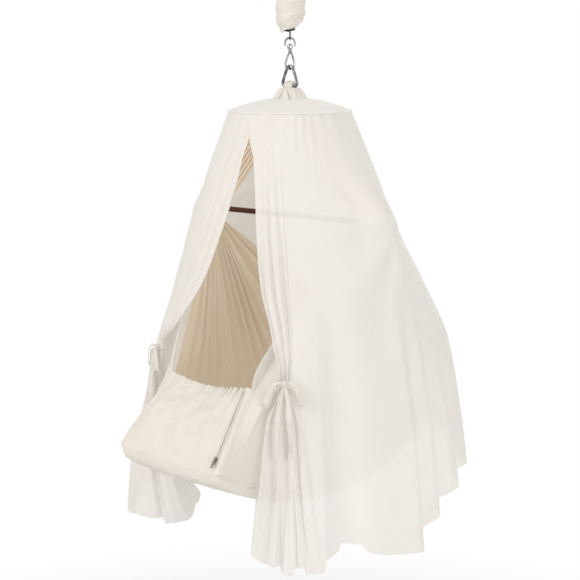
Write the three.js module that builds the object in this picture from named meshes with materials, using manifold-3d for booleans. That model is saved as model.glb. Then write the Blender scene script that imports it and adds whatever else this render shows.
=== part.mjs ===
// A hanging baby cradle, built as a three.js scene graph.
// Units are millimetres, +Z is up, and z = 0 is the top face of the ceiling plate.
// X runs along the spreader bar and Y along the basket, with the foot pouch at -Y.
// A ceiling fitting carries a carabiner, a spring in a cloth sleeve, a swivel snap hook and a link.
// The link carries the gathered cloth of the hammock, whose bands hold the spreader bar.
// A canopy with a hoop in its cap hangs over the bar, open at the front between two tied flaps.
import * as THREE from "three";
import { mergeVertices } from "three/addons/utils/BufferGeometryUtils.js";
import Module from "manifold-3d";

const wasm = await Module();
wasm.setup();

// Clearances
const restGap = 0.3; // between touching hard pieces
const seamGap = 0.5; // between sewn cloth pieces
const pivotGap = 0.4; // round a gate's rounded foot

// Ceiling fitting
const plateRadius = 40;
const plateThickness = 6;
const screwCircleRadius = 27;
const screwCount = 3;
const screwShankRadius = 2.4;
const screwHeadRadius = 4.6;
const screwHeadHeight = 2.8;
const screwHoleRadius = 2.8;
const eyeStemRadius = 5;
const eyeStemSocketDepth = 4;
const eyeNeckLength = 8;
const eyeWireRadius = 4;
const eyeRingRadius = 15;

// Top carabiner
const carabinerWireRadius = 4;
const carabinerHalfWidth = 16;
const carabinerLength = 72;
const carabinerGateLength = 26;
const carabinerGateRadius = 3.2;

// Suspension spring and its sleeve
const springWireRadius = 2.1;
const springCoilRadius = 10.9;
const springLoopRadius = 10;
const springLength = 268.25; // between the wire centres of its end loops
const springTurnCount = 14;
const springNeck = 10; // from an end loop to the first turn
const springYaw = 130; // degrees, how the lower end loop is turned
const springLoopStart = -50; // degrees round the upper end loop, from its free end
const springLoopEnd = 235; // degrees
const sleeveRadius = 37;
const sleeveMouthRadius = 30;
const sleeveWall = 3;
const sleeveLength = 200;
const sleeveFoldDepth = 7;
const sleeveScrunchCount = 5;
const sleeveCrumpleShare = 0.5; // of the scrunches' depth, for the crumples round the sleeve
const sleeveDrop = 42; // from the spring's top loop to the sleeve's top

// Swivel snap hook
const bowWireRadius = 2.5;
const bowHalfWidth = 12.2;
const bowHeight = 17.5; // from the top wire's centre to the swivel plate
const bowYaw = 40; // degrees
const swivelRadius = 7.5;
const swivelHeight = 9;
const swivelStemRadius = 3;
const swivelBoreGap = 0.35;
const rivetRadius = 4.6;
const rivetHeight = 3;
const hookWireRadius = 2.8;
const hookHalfWidth = 13;
const hookLength = 49; // from the swivel plate to the bottom wire's centre
const hookYaw = 75; // degrees
const hookShoulderHalfWidth = 5;
const hookNoseHeight = 3.5;
const hookBodyRadius = 4.4;
const snapGateRadius = 2.4;

// Lower link
const linkWireRadius = 3.75;
const linkHeight = 49.5; // between the wire centres
const linkTopHalfWidth = 10.5;
const linkBottomHalfWidth = 21.5;
const linkCornerRadius = 8;
const linkYaw = 5; // degrees

// Gathered top of the hammock cloth
const gatherTunnelRadius = 4.6;
const gatherLoopRadius = 14;
const gatherLoopWidth = 21;
const gatherNeckHalfWidth = 16;
const gatherSkirtRadius = 40;
const gatherHeight = 32; // from the link's lower wire down
const gatherPleatDepth = 2.6;
const gatherPleatCount = 14;
const gatherSeat = 1.8; // from the link's wire to the skirt's top

// Spreader bar and the cloth round its ends
const barDrop = 286.5; // from the gather's foot to the bar's centre
const barHalfLength = 300;
const barRadius = 6.8;
const barEndBevel = 2;
const barLoopWidth = 71;
const barLoopOverhang = 3; // past the bar's end
const barLoopDepth = 9.7; // of the gathered cloth round the bar
const barLoopPleatCount = 5;
const barLoopPleatDepth = 2.4;

// Bands between the gather and the bar
const clothThickness = 3;
const bandTopInnerShare = 0.1; // of a band's outer edge at the top, where its inner edge starts
const bandTopInset = 6; // from the gather's edge
const bandFootWidth = 96;
const bandPleatCount = 6;
const bandTopPleatDepth = 9;
const bandFootPleatDepth = 3;
const bandSag = 12;

// Basket
const basketHalfWidth = 155;
const basketHalfLength = 440;
const floorDrop = 657; // from the bar's centre to the middle of the floor
const floorRise = 120; // from the middle to either end
const floorStepCount = 16;
const baseDepth = 34;
const baseWall = 2.5;
const mattressGap = 1.5;
const mattressCrown = 5;
const mattressHeight = 29;
const wallPleatCount = 20;
const wallPleatDepth = 5;
const wallPleatStartShare = 0.12; // of a pleat's growth that it has at the wall's top
const wallTopHalfDepth = 14;
const wallEndInset = 6; // from the base's ends
const frontEdgeShares = [
  [0.76, 0.27, 0.38],
  [0.573, 0.495, 0.72],
]; // of the wall top's offset, the basket's half length and the drop to the pouch
const backEdgeShares = [0.8, 0.45, 0.42]; // of the same, at the head panel
const edgeReachShare = 0.22; // of the wall, how far an edge's curve reaches into it
const pouchTopDrop = 371; // from the bar's centre
const pouchLength = 143;
const pouchTaper = 27; // on each side, from the basket's width to the elastic edge
const pouchTopSag = 15;
const pouchBulge = 18;
const pouchRuffleDepth = 3;
const pouchRuffleCount = 9;
const pouchHemShare = 0.085; // of the pouch's width, flat at each side
const headTopDrop = 329; // from the bar's centre
const headLean = 40;
const headTaper = 17;
const headSag = 8;
const borderWidth = 22;
const borderTopShare = 0.02; // of the wall's front edge
const borderFootShare = 0.56;
const borderTurnShare = 0.3; // of the border's width, how far its free edge turns outwards

// Zipper on the right-hand edge of the pouch
const zipperWidth = 12;
const zipperThickness = 2;
const zipperLift = 3.4;
const zipperEndInset = 14;
const zipperAcrossShare = 0.955; // of the pouch's width
const zipperTopShare = 0.03; // of the pouch's length
const zipperFootShare = 0.94;
const sliderLength = 11;
const sliderWidth = 8;
const sliderHeight = 3.6;
const pullLength = 24;
const pullWidth = 6;
const pullThickness = 1.6;

// Canopy
const canopyThickness = 1.6;
const rimRadius = 151.8;
const capDrop = 26.5; // from the gather's foot to the rim
const capRowShares = [0, 0.33, 0.66, 1];
const skirtInset = 1.4; // from the rim's edge to the side panels
const pipingRadius = 2.2;
const hoopWireRadius = 2.5;
const canopyFoldDepth = 24;
const panelColumnCount = 18;
const flapPleatCount = 4;
const flapSwell = 120; // of the left flap's large fold at the hem
const flapPleatDepth = 9;
const flapWaistPleatDepth = 6;
const seamAngle = 75; // degrees from the front, where a flap's panel ends
const backSeamAngle = 130; // degrees
const seamHalfGap = 0.12; // degrees
const canopyDrop = 799; // from the bar's centre to the hem in front
const canopyFlare = 32; // past the bar loops' end and half the basket's width, at the widest
const canopyRearGap = 50; // past the basket's end
const canopyBarGap = 15; // past the bar loops
const flapHemAngle = 45; // degrees, where a flap's hem is read
const waistHalfHeight = 13;
const waistReach = 90; // how far a tie's pull is felt above and below it

// Ties
const tieDropRight = 354; // from the bar's centre
const tieDropLeft = 326;
const tieRibbonWidth = 8;
const tieRibbonThickness = 1.8;
const tieWaistHalfWidth = 16.6;
const tieWaistGap = 2.2; // round the gathered cloth
const tieWaistHalfDepth = flapWaistPleatDepth + canopyThickness / 2 + tieWaistGap;
const tieKnotRadius = 8;
const tieLoopLength = 52;
const tieLoopHalfWidth = 11;
const tieLoopLean = 5;
const tieTailLength = 165;
const tieTailSpread = 26;
const tieTailLean = 24;
const tieBandStart = -50; // degrees round the waist, open behind the knot's side
const tieBandEnd = -300; // degrees

const degrees = Math.PI / 180;
const fullTurn = 360;
const spot = (x, y, z) => new THREE.Vector3(x, y, z);
const mix = THREE.MathUtils.lerp;
const smooth = THREE.MathUtils.smoothstep;

// Materials
function finish(color, roughness, metalness = 0) {
  return new THREE.MeshStandardMaterial({ color, roughness, metalness });
}
const creamCotton = finish(0xeee9de, 0.9);
const tanCotton = finish(0xd0b79a, 0.92);
const canopyCotton = finish(0xf0ece5, 0.9);
const walnut = finish(0x4b2814, 0.45);
const steel = finish(0xb9babc, 0.22, 1);
const darkSteel = finish(0x3a3a3c, 0.4, 1);
const zipMetal = finish(0x55504b, 0.35, 1);
const boning = finish(0xe8e6e0, 0.5);

const cradle = new THREE.Group();

function add(name, geometry, material, parent = cradle) {
  const mesh = new THREE.Mesh(geometry, material);
  mesh.name = name;
  parent.add(mesh);
  return mesh;
}

// Turns a closed geometry into a manifold solid, and back again.
function solidOf(geometry) {
  const bare = geometry.index ? geometry.toNonIndexed() : geometry.clone();
  bare.deleteAttribute("normal");
  bare.deleteAttribute("uv");
  const merged = mergeVertices(bare, 1e-4);
  return new wasm.Manifold(
    new wasm.Mesh({
      numProp: 3,
      vertProperties: merged.attributes.position.array,
      triVerts: new Uint32Array(merged.index.array),
    }),
  );
}

function geometryOf(solid) {
  const mesh = solid.getMesh();
  const geometry = new THREE.BufferGeometry();
  geometry.setAttribute("position", new THREE.BufferAttribute(mesh.vertProperties, 3));
  geometry.setIndex(new THREE.BufferAttribute(mesh.triVerts, 1));
  return geometry;
}

// Builds an indexed geometry and turns its faces outwards.
function closedGeometry(points, triangles) {
  let volume = 0;
  const cross = new THREE.Vector3();
  for (const [a, b, c] of triangles) {
    volume += cross.crossVectors(points[b], points[c]).dot(points[a]);
  }
  const index = triangles.flatMap(([a, b, c]) => (volume < 0 ? [a, c, b] : [a, b, c]));
  const geometry = new THREE.BufferGeometry().setFromPoints(points);
  geometry.setIndex(index);
  geometry.computeVertexNormals();
  return geometry;
}

// A solid between two grids of points, closed all round its edges.
// front and back give a point for a column and a row; wrapped columns close on themselves.
function gridSolid(front, back, columns, rows, wrapped = false) {
  const stride = wrapped ? columns : columns + 1;
  const points = [];
  for (const face of [front, back]) {
    for (let row = 0; row <= rows; row++) {
      for (let column = 0; column < stride; column++) points.push(face(column, row));
    }
  }
  const layer = stride * (rows + 1);
  const at = (side, column, row) => side * layer + row * stride + (column % stride);
  const triangles = [];
  const quad = (a, b, c, d) => triangles.push([a, b, c], [a, c, d]);
  for (let row = 0; row < rows; row++) {
    for (let column = 0; column < columns; column++) {
      quad(at(0, column, row), at(0, column + 1, row), at(0, column + 1, row + 1), at(0, column, row + 1));
      quad(at(1, column, row), at(1, column, row + 1), at(1, column + 1, row + 1), at(1, column + 1, row));
    }
  }
  for (let column = 0; column < columns; column++) {
    quad(at(0, column, 0), at(1, column, 0), at(1, column + 1, 0), at(0, column + 1, 0));
    quad(at(0, column, rows), at(0, column + 1, rows), at(1, column + 1, rows), at(1, column, rows));
  }
  for (let row = 0; !wrapped && row < rows; row++) {
    quad(at(0, 0, row), at(0, 0, row + 1), at(1, 0, row + 1), at(1, 0, row));
    quad(at(0, columns, row), at(1, columns, row), at(1, columns, row + 1), at(0, columns, row + 1));
  }
  return closedGeometry(points, triangles);
}

// A sheet of even thickness along a fixed direction, from a point function of two shares.
function sheet(surface, columns, rows, thickness, direction) {
  const shift = direction.clone().normalize().multiplyScalar(thickness / 2);
  const front = (column, row) => surface(column / columns, row / rows).add(shift);
  const back = (column, row) => surface(column / columns, row / rows).sub(shift);
  return gridSolid(front, back, columns, rows);
}

// A sheet whose thickness follows the surface's own normal in plan.
function hangingSheet(surface, columns, rows, thickness) {
  const side = (column, row, sign) => {
    const before = surface(Math.max(column - 1, 0) / columns, row / rows);
    const after = surface(Math.min(column + 1, columns) / columns, row / rows);
    const normal = after.sub(before).setZ(0).normalize();
    const shift = spot(normal.y, -normal.x, 0).multiplyScalar((sign * thickness) / 2);
    return surface(column / columns, row / rows).add(shift);
  };
  const front = (column, row) => side(column, row, 1);
  const back = (column, row) => side(column, row, -1);
  return gridSolid(front, back, columns, rows);
}

// A round tube along a list of points, with frames carried along without twist.
function tube(path, radius, sides, closed) {
  const count = path.length;
  const tangents = path.map((_, i) => {
    const before = path[closed ? (i + count - 1) % count : Math.max(i - 1, 0)];
    const after = path[closed ? (i + 1) % count : Math.min(i + 1, count - 1)];
    return after.clone().sub(before).normalize();
  });
  const first = Math.abs(tangents[0].z) < 0.9 ? spot(0, 0, 1) : spot(1, 0, 0);
  let normal = first.sub(tangents[0].clone().multiplyScalar(first.dot(tangents[0]))).normalize();
  const points = [];
  for (let i = 0; i < count; i++) {
    normal = normal.clone().sub(tangents[i].clone().multiplyScalar(normal.dot(tangents[i]))).normalize();
    const binormal = new THREE.Vector3().crossVectors(tangents[i], normal);
    for (let k = 0; k < sides; k++) {
      const angle = (2 * Math.PI * k) / sides;
      const offset = normal.clone().multiplyScalar(radius * Math.cos(angle));
      offset.addScaledVector(binormal, radius * Math.sin(angle));
      points.push(path[i].clone().add(offset));
    }
  }
  const triangles = [];
  const at = (ring, k) => (ring % count) * sides + (k % sides);
  for (let ring = 0; ring < (closed ? count : count - 1); ring++) {
    for (let k = 0; k < sides; k++) {
      triangles.push([at(ring, k), at(ring, k + 1), at(ring + 1, k + 1)]);
      triangles.push([at(ring, k), at(ring + 1, k + 1), at(ring + 1, k)]);
    }
  }
  for (let k = 1; !closed && k < sides - 1; k++) {
    triangles.push([at(0, 0), at(0, k + 1), at(0, k)]);
    triangles.push([at(count - 1, 0), at(count - 1, k), at(count - 1, k + 1)]);
  }
  return closedGeometry(points, triangles);
}

// The points of a smooth curve through hand-placed points, evenly spaced along it.
function smoothPath(points, steps, closed = false) {
  const curve = new THREE.CatmullRomCurve3(points, closed, "centripetal");
  const path = curve.getSpacedPoints(steps);
  if (closed) path.pop();
  return path;
}

// A body turned about a vertical axis from a closed profile of [radius, height] pairs.
function turned(profile, segments = 24) {
  const lathe = new THREE.LatheGeometry(profile.map(([r, z]) => new THREE.Vector2(r, z)), segments);
  lathe.rotateX(Math.PI / 2);
  return closedFrom(lathe);
}

// Merges a three.js geometry's seams into one closed surface that faces out.
function closedFrom(geometry) {
  geometry.deleteAttribute("normal");
  geometry.deleteAttribute("uv");
  const merged = mergeVertices(geometry, 1e-4);
  const place = merged.attributes.position;
  const point = (i) => new THREE.Vector3().fromBufferAttribute(place, i);
  const points = Array.from({ length: place.count }, (_, i) => point(i));
  const triangles = [];
  for (let i = 0; i < merged.index.count; i += 3) {
    const [a, b, c] = [0, 1, 2].map((k) => merged.index.getX(i + k));
    if (a !== b && b !== c && a !== c) triangles.push([a, b, c]);
  }
  return closedGeometry(points, triangles);
}

// Linear reading of a table of [place, value] rows.
function tableValue(rows, place) {
  let low = 0;
  while (low < rows.length - 2 && place > rows[low + 1][0]) low++;
  const [fromPlace, fromValue] = rows[low];
  const [toPlace, toValue] = rows[low + 1];
  const share = (place - fromPlace) / (toPlace - fromPlace);
  return mix(fromValue, toValue, THREE.MathUtils.clamp(share, 0, 1));
}

// Ceiling plate, with a blind socket for the eye's stem and three screw holes
function screwPlace(index) {
  const angle = (2 * Math.PI * index) / screwCount + Math.PI / 2;
  return spot(screwCircleRadius * Math.cos(angle), screwCircleRadius * Math.sin(angle), 0);
}

function uprightCylinder(radius, bottom, top, segments = 16) {
  const cylinder = new THREE.CylinderGeometry(radius, radius, top - bottom, segments);
  cylinder.rotateX(Math.PI / 2);
  cylinder.translate(0, 0, (top + bottom) / 2);
  return cylinder;
}

let plate = solidOf(uprightCylinder(plateRadius, -plateThickness, 0, 32));
const socketRadius = eyeStemRadius + restGap;
const socketTop = -plateThickness + eyeStemSocketDepth;
plate = plate.subtract(solidOf(uprightCylinder(socketRadius, -2 * plateThickness, socketTop)));
for (let index = 0; index < screwCount; index++) {
  const place = screwPlace(index);
  const hole = uprightCylinder(screwHoleRadius, -2 * plateThickness, plateThickness, 10);
  plate = plate.subtract(solidOf(hole.translate(place.x, place.y, 0)));
}
add("ceiling_plate", geometryOf(plate), steel);

const screwHeadTop = -plateThickness - restGap;
for (let index = 0; index < screwCount; index++) {
  const screw = turned(
    [
      [0, screwHeadTop - screwHeadHeight],
      [screwHeadRadius * 0.7, screwHeadTop - screwHeadHeight],
      [screwHeadRadius, screwHeadTop - screwHeadHeight / 2],
      [screwHeadRadius, screwHeadTop],
      [screwShankRadius, screwHeadTop],
      [screwShankRadius, -restGap],
      [0, -restGap],
    ],
    10,
  );
  add("ceiling_screw_" + (index + 1), screw, steel).position.copy(screwPlace(index));
}

const eyeRingHeight = -plateThickness - eyeNeckLength - eyeRingRadius;
const eyeRing = new THREE.TorusGeometry(eyeRingRadius, eyeWireRadius, 8, 20).rotateX(Math.PI / 2);
eyeRing.translate(0, 0, eyeRingHeight);
const eyeStemFoot = eyeRingHeight + eyeRingRadius - eyeWireRadius / 2;
const eyeStem = uprightCylinder(eyeStemRadius, eyeStemFoot, socketTop - restGap);
add("ceiling_eye", geometryOf(solidOf(eyeRing).add(solidOf(eyeStem))), steel);

// Top carabiner, hung on the eye's lowest wire, with its gate on the +Y side
const eyeWireHeight = eyeRingHeight - eyeRingRadius;
const carabinerTop = eyeWireHeight + eyeWireRadius + carabinerWireRadius + restGap;
const carabinerBottom = carabinerTop - carabinerLength;
const carabinerUpperCentre = carabinerTop - carabinerHalfWidth;
const carabinerLowerCentre = carabinerBottom + carabinerHalfWidth;
const gateFoot = (carabinerTop + carabinerBottom - carabinerGateLength) / 2;
const gateHead = gateFoot + carabinerGateLength;

function arcPoints(centre, radius, fromAngle, toAngle, steps, place) {
  return Array.from({ length: steps + 1 }, (_, i) => {
    const angle = mix(fromAngle, toAngle, i / steps) * degrees;
    return place(radius * Math.cos(angle), centre + radius * Math.sin(angle));
  });
}

const inYZ = (side, height) => spot(0, side, height);
const carabinerPath = [
  inYZ(carabinerHalfWidth, gateHead + pivotGap),
  ...arcPoints(carabinerUpperCentre, carabinerHalfWidth, 0, 180, 10, inYZ),
  ...arcPoints(carabinerLowerCentre, carabinerHalfWidth, 180, 360, 10, inYZ),
  inYZ(carabinerHalfWidth, gateFoot - carabinerGateRadius - pivotGap),
];
add("top_carabiner", tube(carabinerPath, carabinerWireRadius, 8, false), steel);

function gateGeometry(radius, foot, head) {
  const foots = Array.from({ length: 5 }, (_, i) => {
    const angle = (i / 4) * 90 * degrees;
    return [radius * Math.sin(angle), foot - radius * Math.cos(angle)];
  });
  return turned([...foots, [radius, head - pivotGap], [0, head - pivotGap]], 12);
}
const carabinerGate = gateGeometry(carabinerGateRadius, gateFoot, gateHead);
add("carabiner_gate", carabinerGate, steel).position.y = carabinerHalfWidth;

// Spring: one unbroken wire with a loop at each end
const springTop = carabinerBottom + carabinerWireRadius + springWireRadius + restGap;
const springBottom = springTop - springLength;
const coilTop = springTop - 2 * springLoopRadius - springNeck;
const coilBottom = springBottom + 2 * springLoopRadius + springNeck;

function springPath() {
  const path = [];
  const stepsPerTurn = 8;
  const loopSteps = 12;
  const upperCentre = springTop - springLoopRadius;
  for (let i = 0; i <= loopSteps; i++) {
    const angle = mix(springLoopStart, springLoopEnd, i / loopSteps) * degrees;
    path.push(spot(springLoopRadius * Math.cos(angle), 0, upperCentre + springLoopRadius * Math.sin(angle)));
  }
  const coilSteps = stepsPerTurn * springTurnCount;
  const turnEnd = springTurnCount * fullTurn + fullTurn / 2 + springYaw;
  for (let i = 0; i <= coilSteps; i++) {
    const share = i / coilSteps;
    const angle = mix(fullTurn / 2, turnEnd, share) * degrees;
    const height = mix(coilTop, coilBottom, share);
    path.push(spot(springCoilRadius * Math.cos(angle), springCoilRadius * Math.sin(angle), height));
  }
  const lowerCentre = springBottom + springLoopRadius;
  const yaw = springYaw * degrees;
  for (let i = 0; i <= loopSteps; i++) {
    const angle = mix(fullTurn - springLoopEnd, fullTurn - springLoopStart, i / loopSteps) * degrees;
    const side = springLoopRadius * Math.cos(angle);
    const height = lowerCentre + springLoopRadius * Math.sin(angle);
    path.push(spot(side * Math.cos(yaw), side * Math.sin(yaw), height));
  }
  return path;
}

// The least distance between stretches of a path that are more than half a turn apart, less the wire.
function leastGap(path, apart, radius) {
  let least = Infinity;
  for (let i = 0; i < path.length; i++) {
    for (let j = i + apart; j < path.length; j++) least = Math.min(least, path[i].distanceTo(path[j]));
  }
  return least - 2 * radius;
}

const springPoints = springPath();
const springGap = leastGap(springPoints, 5, springWireRadius);
console.log("spring wire's least gap to itself", springGap.toFixed(2), "mm");
add("suspension_spring", tube(springPoints, springWireRadius, 5, false), darkSteel);

// Scrunched cloth sleeve round the spring
const sleeveTop = springTop - sleeveDrop;
const sleeveRowCount = 10;
const sleeveColumnCount = 14;
const sleeveEndRadius = springCoilRadius + springWireRadius + seamGap;

function sleeveSurface(column, row) {
  const share = row / sleeveRowCount;
  const angle = (2 * Math.PI * column) / sleeveColumnCount;
  const crumple = sleeveCrumpleShare * Math.sin(3 * angle + 9 * share);
  const scrunch = Math.sin(share * sleeveScrunchCount * 2 * Math.PI + 1.3 * Math.sin(angle)) + crumple;
  const body = mix(sleeveMouthRadius, sleeveRadius, smooth(Math.sin(share * Math.PI), 0, 0.5));
  const ends = row === 0 ? sleeveEndRadius + sleeveWall : body + (sleeveFoldDepth / 2) * scrunch;
  return [ends, angle, sleeveTop - sleeveLength * share];
}
function sleeveInner(column, row) {
  const [radius, angle, height] = sleeveSurface(column, row);
  const atEnd = row === 0 || row === sleeveRowCount;
  return polar(atEnd ? sleeveEndRadius : radius - sleeveWall, angle, height);
}
function polar(radius, angle, height) {
  return spot(radius * Math.cos(angle), radius * Math.sin(angle), height);
}
const sleeveOuter = (column, row) => polar(...sleeveSurface(column, row));
const sleeve = gridSolid(sleeveOuter, sleeveInner, sleeveColumnCount, sleeveRowCount, true);
add("spring_sleeve", sleeve, creamCotton);

// Swivel bow, hung on the spring's lower loop
const bowTop = springBottom + springWireRadius + bowWireRadius + restGap;
const swivelTop = bowTop - bowHeight;
const swivelBottom = swivelTop - swivelHeight;
const bowGroup = new THREE.Group();
bowGroup.rotation.z = bowYaw * degrees;
cradle.add(bowGroup);
const inXZ = (side, height) => spot(side, 0, height);
const bowShoulder = bowTop - bowHalfWidth;
const bowPath = smoothPath(
  [
    ...arcPoints(bowShoulder, bowHalfWidth, 0, 180, 6, inXZ),
    inXZ(-bowHalfWidth * 0.9, swivelTop - swivelHeight * 0.2),
    inXZ(-swivelRadius * 0.5, swivelTop - swivelHeight / 2),
    inXZ(swivelRadius * 0.5, swivelTop - swivelHeight / 2),
    inXZ(bowHalfWidth * 0.9, swivelTop - swivelHeight * 0.2),
  ],
  24,
  true,
);
const boreRadius = swivelStemRadius + swivelBoreGap;
const bow = solidOf(tube(bowPath, bowWireRadius, 6, true))
  .add(solidOf(uprightCylinder(swivelRadius, swivelBottom, swivelTop)))
  .subtract(solidOf(uprightCylinder(boreRadius, swivelBottom - swivelHeight, bowTop - bowWireRadius * 2)));
add("swivel_bow", geometryOf(bow), steel, bowGroup);

// Snap hook: a stem with a rivet head through the swivel plate, a body and an open hook
const hookGroup = new THREE.Group();
hookGroup.rotation.z = hookYaw * degrees;
cradle.add(hookGroup);
const hookBottom = swivelBottom - hookLength;
const hookCentre = hookBottom + hookHalfWidth;
const hookBodyBottom = swivelBottom - hookLength * 0.24;
const rivetBottom = swivelTop + restGap;
const hookStem = turned(
  [
    [0, hookBodyBottom],
    [hookBodyRadius, hookBodyBottom],
    [hookBodyRadius, swivelBottom - restGap - hookBodyRadius / 2],
    [swivelStemRadius * 1.3, swivelBottom - restGap],
    [swivelStemRadius, swivelBottom - restGap],
    [swivelStemRadius, rivetBottom],
    [rivetRadius, rivetBottom],
    [rivetRadius, rivetBottom + rivetHeight / 2],
    [rivetRadius * 0.6, rivetBottom + rivetHeight],
    [0, rivetBottom + rivetHeight],
  ],
  12,
);
const hookPath = smoothPath(
  [
    inXZ(hookShoulderHalfWidth * 0.3, swivelBottom - hookLength * 0.16),
    inXZ(hookShoulderHalfWidth, swivelBottom - hookLength * 0.24),
    inXZ(hookHalfWidth * 0.78, swivelBottom - hookLength * 0.5),
    ...arcPoints(hookCentre, hookHalfWidth, 360, 180, 8, inXZ),
    inXZ(-hookHalfWidth, hookCentre + hookNoseHeight),
  ],
  24,
);
const hook = solidOf(hookStem).add(solidOf(tube(hookPath, hookWireRadius, 7, false)));
add("snap_hook", geometryOf(hook), steel, hookGroup);

// Snap gate, from its rounded foot under the hook's body to the hook's tip
const tipPoint = hookPath[hookPath.length - 1];
const gatePivot = inXZ(-hookShoulderHalfWidth, hookBodyBottom - snapGateRadius - pivotGap);
const gateReach = gatePivot.distanceTo(tipPoint) - hookWireRadius * 0.6;
const snapGate = gateGeometry(snapGateRadius, 0, gateReach);
const gateLean = Math.atan2(tipPoint.x - gatePivot.x, tipPoint.z - gatePivot.z);
const gateMesh = add("snap_gate", snapGate, steel, hookGroup);
gateMesh.position.copy(gatePivot);
gateMesh.rotation.y = gateLean;

// Lower link, hung on the hook's lowest wire
const linkTop = hookBottom + hookWireRadius + linkWireRadius + 2 * restGap;
const linkBottom = linkTop - linkHeight;
const linkGroup = new THREE.Group();
linkGroup.rotation.z = linkYaw * degrees;
cradle.add(linkGroup);
const linkCornerHeight = linkBottom + linkCornerRadius;
const linkSide = linkBottomHalfWidth - linkCornerRadius;
const linkCorner = (side, from, to) =>
  arcPoints(linkCornerHeight, linkCornerRadius, from, to, 4, (x, z) => inXZ(side + x, z));
const linkPath = smoothPath(
  [
    ...arcPoints(linkTop - linkTopHalfWidth, linkTopHalfWidth, 10, 170, 5, inXZ),
    ...linkCorner(-linkSide, 180, 270),
    inXZ(0, linkBottom),
    ...linkCorner(linkSide, 270, 360),
  ],
  30,
  true,
);
add("lower_link", tube(linkPath, linkWireRadius, 8, true), steel, linkGroup);

// Gathered top of the cloth: a loop round the link's lower wire and a pleated skirt below it
const gatherBottom = linkBottom - gatherHeight;
const gatherLoop = new THREE.CylinderGeometry(gatherLoopRadius, gatherLoopRadius, gatherLoopWidth, 20);
gatherLoop.rotateZ(Math.PI / 2).translate(0, 0, linkBottom);
const tunnelLength = gatherLoopWidth * 3;
const gatherTunnel = new THREE.CylinderGeometry(gatherTunnelRadius, gatherTunnelRadius, tunnelLength, 20);
gatherTunnel.rotateZ(Math.PI / 2).translate(0, 0, linkBottom);
const gatherColumnCount = gatherPleatCount * 2;
const gatherRowCount = 4;
const skirtTop = linkBottom - linkWireRadius - gatherSeat;

function gatherPoint(column, row) {
  const share = row / gatherRowCount;
  const angle = (2 * Math.PI * column) / gatherColumnCount;
  const pleat = (column % 2 ? -1 : 1) * gatherPleatDepth * share;
  const along = mix(gatherNeckHalfWidth, gatherSkirtRadius, smooth(share, 0, 1)) + pleat;
  const across = mix(gatherLoopRadius * 0.9, gatherSkirtRadius, share) + pleat;
  return spot(along * Math.cos(angle), across * Math.sin(angle), mix(skirtTop, gatherBottom, share));
}
const gatherAxis = (column, row) => spot(0, 0, mix(skirtTop, gatherBottom, row / gatherRowCount));

// A solid of revolution-like rings, closed by a point at each end.
function ringStack(ring, columns, rows) {
  const points = [];
  for (let row = 0; row <= rows; row++) {
    for (let column = 0; column < columns; column++) points.push(ring(column, row));
  }
  points.push(gatherAxis(0, 0), gatherAxis(0, rows));
  const at = (column, row) => row * columns + (column % columns);
  const triangles = [];
  for (let column = 0; column < columns; column++) {
    for (let row = 0; row < rows; row++) {
      triangles.push([at(column, row), at(column, row + 1), at(column + 1, row + 1)]);
      triangles.push([at(column, row), at(column + 1, row + 1), at(column + 1, row)]);
    }
    triangles.push([points.length - 2, at(column, 0), at(column + 1, 0)]);
    triangles.push([points.length - 1, at(column + 1, rows), at(column, rows)]);
  }
  return closedGeometry(points, triangles);
}
const gather = solidOf(gatherLoop)
  .add(solidOf(ringStack(gatherPoint, gatherColumnCount, gatherRowCount)))
  .subtract(solidOf(gatherTunnel));
add("top_gather", geometryOf(gather), creamCotton, linkGroup);

// Spreader bar and the pleated cloth loops round its ends
const barHeight = gatherBottom - barDrop;
const barLoopRadius = barRadius + seamGap + barLoopDepth;
const barLoopOuterEnd = barHalfLength + barLoopOverhang;
const barLoopInnerEnd = barLoopOuterEnd - barLoopWidth;
const barProfile = [
  [0, -barHalfLength],
  [barRadius - barEndBevel, -barHalfLength],
  [barRadius, -barHalfLength + barEndBevel],
  [barRadius, barHalfLength - barEndBevel],
  [barRadius - barEndBevel, barHalfLength],
  [0, barHalfLength],
];
const bar = add("spreader_bar", turned(barProfile, 20), walnut);
bar.rotation.y = Math.PI / 2;
bar.position.z = barHeight;

function barLoopProfile() {
  const inner = barRadius + seamGap;
  const outside = Array.from({ length: barLoopPleatCount * 2 + 1 }, (_, i) => {
    const pleat = i % 2 ? 0 : -barLoopPleatDepth;
    const place = mix(barLoopInnerEnd, barLoopOuterEnd, i / (barLoopPleatCount * 2));
    return [barLoopRadius + pleat, place];
  });
  return [[inner, barLoopInnerEnd], ...outside, [inner, barLoopOuterEnd], [inner, barLoopInnerEnd]];
}
for (const side of [-1, 1]) {
  const loop = add("bar_loop_" + (side < 0 ? "left" : "right"), turned(barLoopProfile(), 16), creamCotton);
  loop.rotation.y = (side * Math.PI) / 2;
  loop.position.z = barHeight;
}

// Bands: pleated cloth from under the gather out to the bar's ends
const bandTop = gatherBottom - seamGap;
const bandFoot = barHeight + barLoopRadius + restGap;
const bandColumnCount = bandPleatCount * 2;
const bandRowCount = 5;

function bandPoint(side) {
  return (across, down) => {
    const outerTop = gatherSkirtRadius - bandTopInset;
    const footEnd = barHalfLength - bandFootWidth;
    const inner = mix(outerTop * bandTopInnerShare, footEnd, down) - bandSag * Math.sin(Math.PI * down);
    const outer = mix(outerTop, barHalfLength, down);
    const fold = Math.round(across * bandColumnCount) % 2 ? 1 : -1;
    const depth = mix(bandTopPleatDepth, bandFootPleatDepth, down);
    return spot(side * mix(inner, outer, across), fold * depth, mix(bandTop, bandFoot, down));
  };
}
for (const side of [-1, 1]) {
  const name = "band_" + (side < 0 ? "left" : "right");
  add(name, sheet(bandPoint(side), bandColumnCount, bandRowCount, clothThickness, spot(0, 1, 0)), tanCotton);
}

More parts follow.
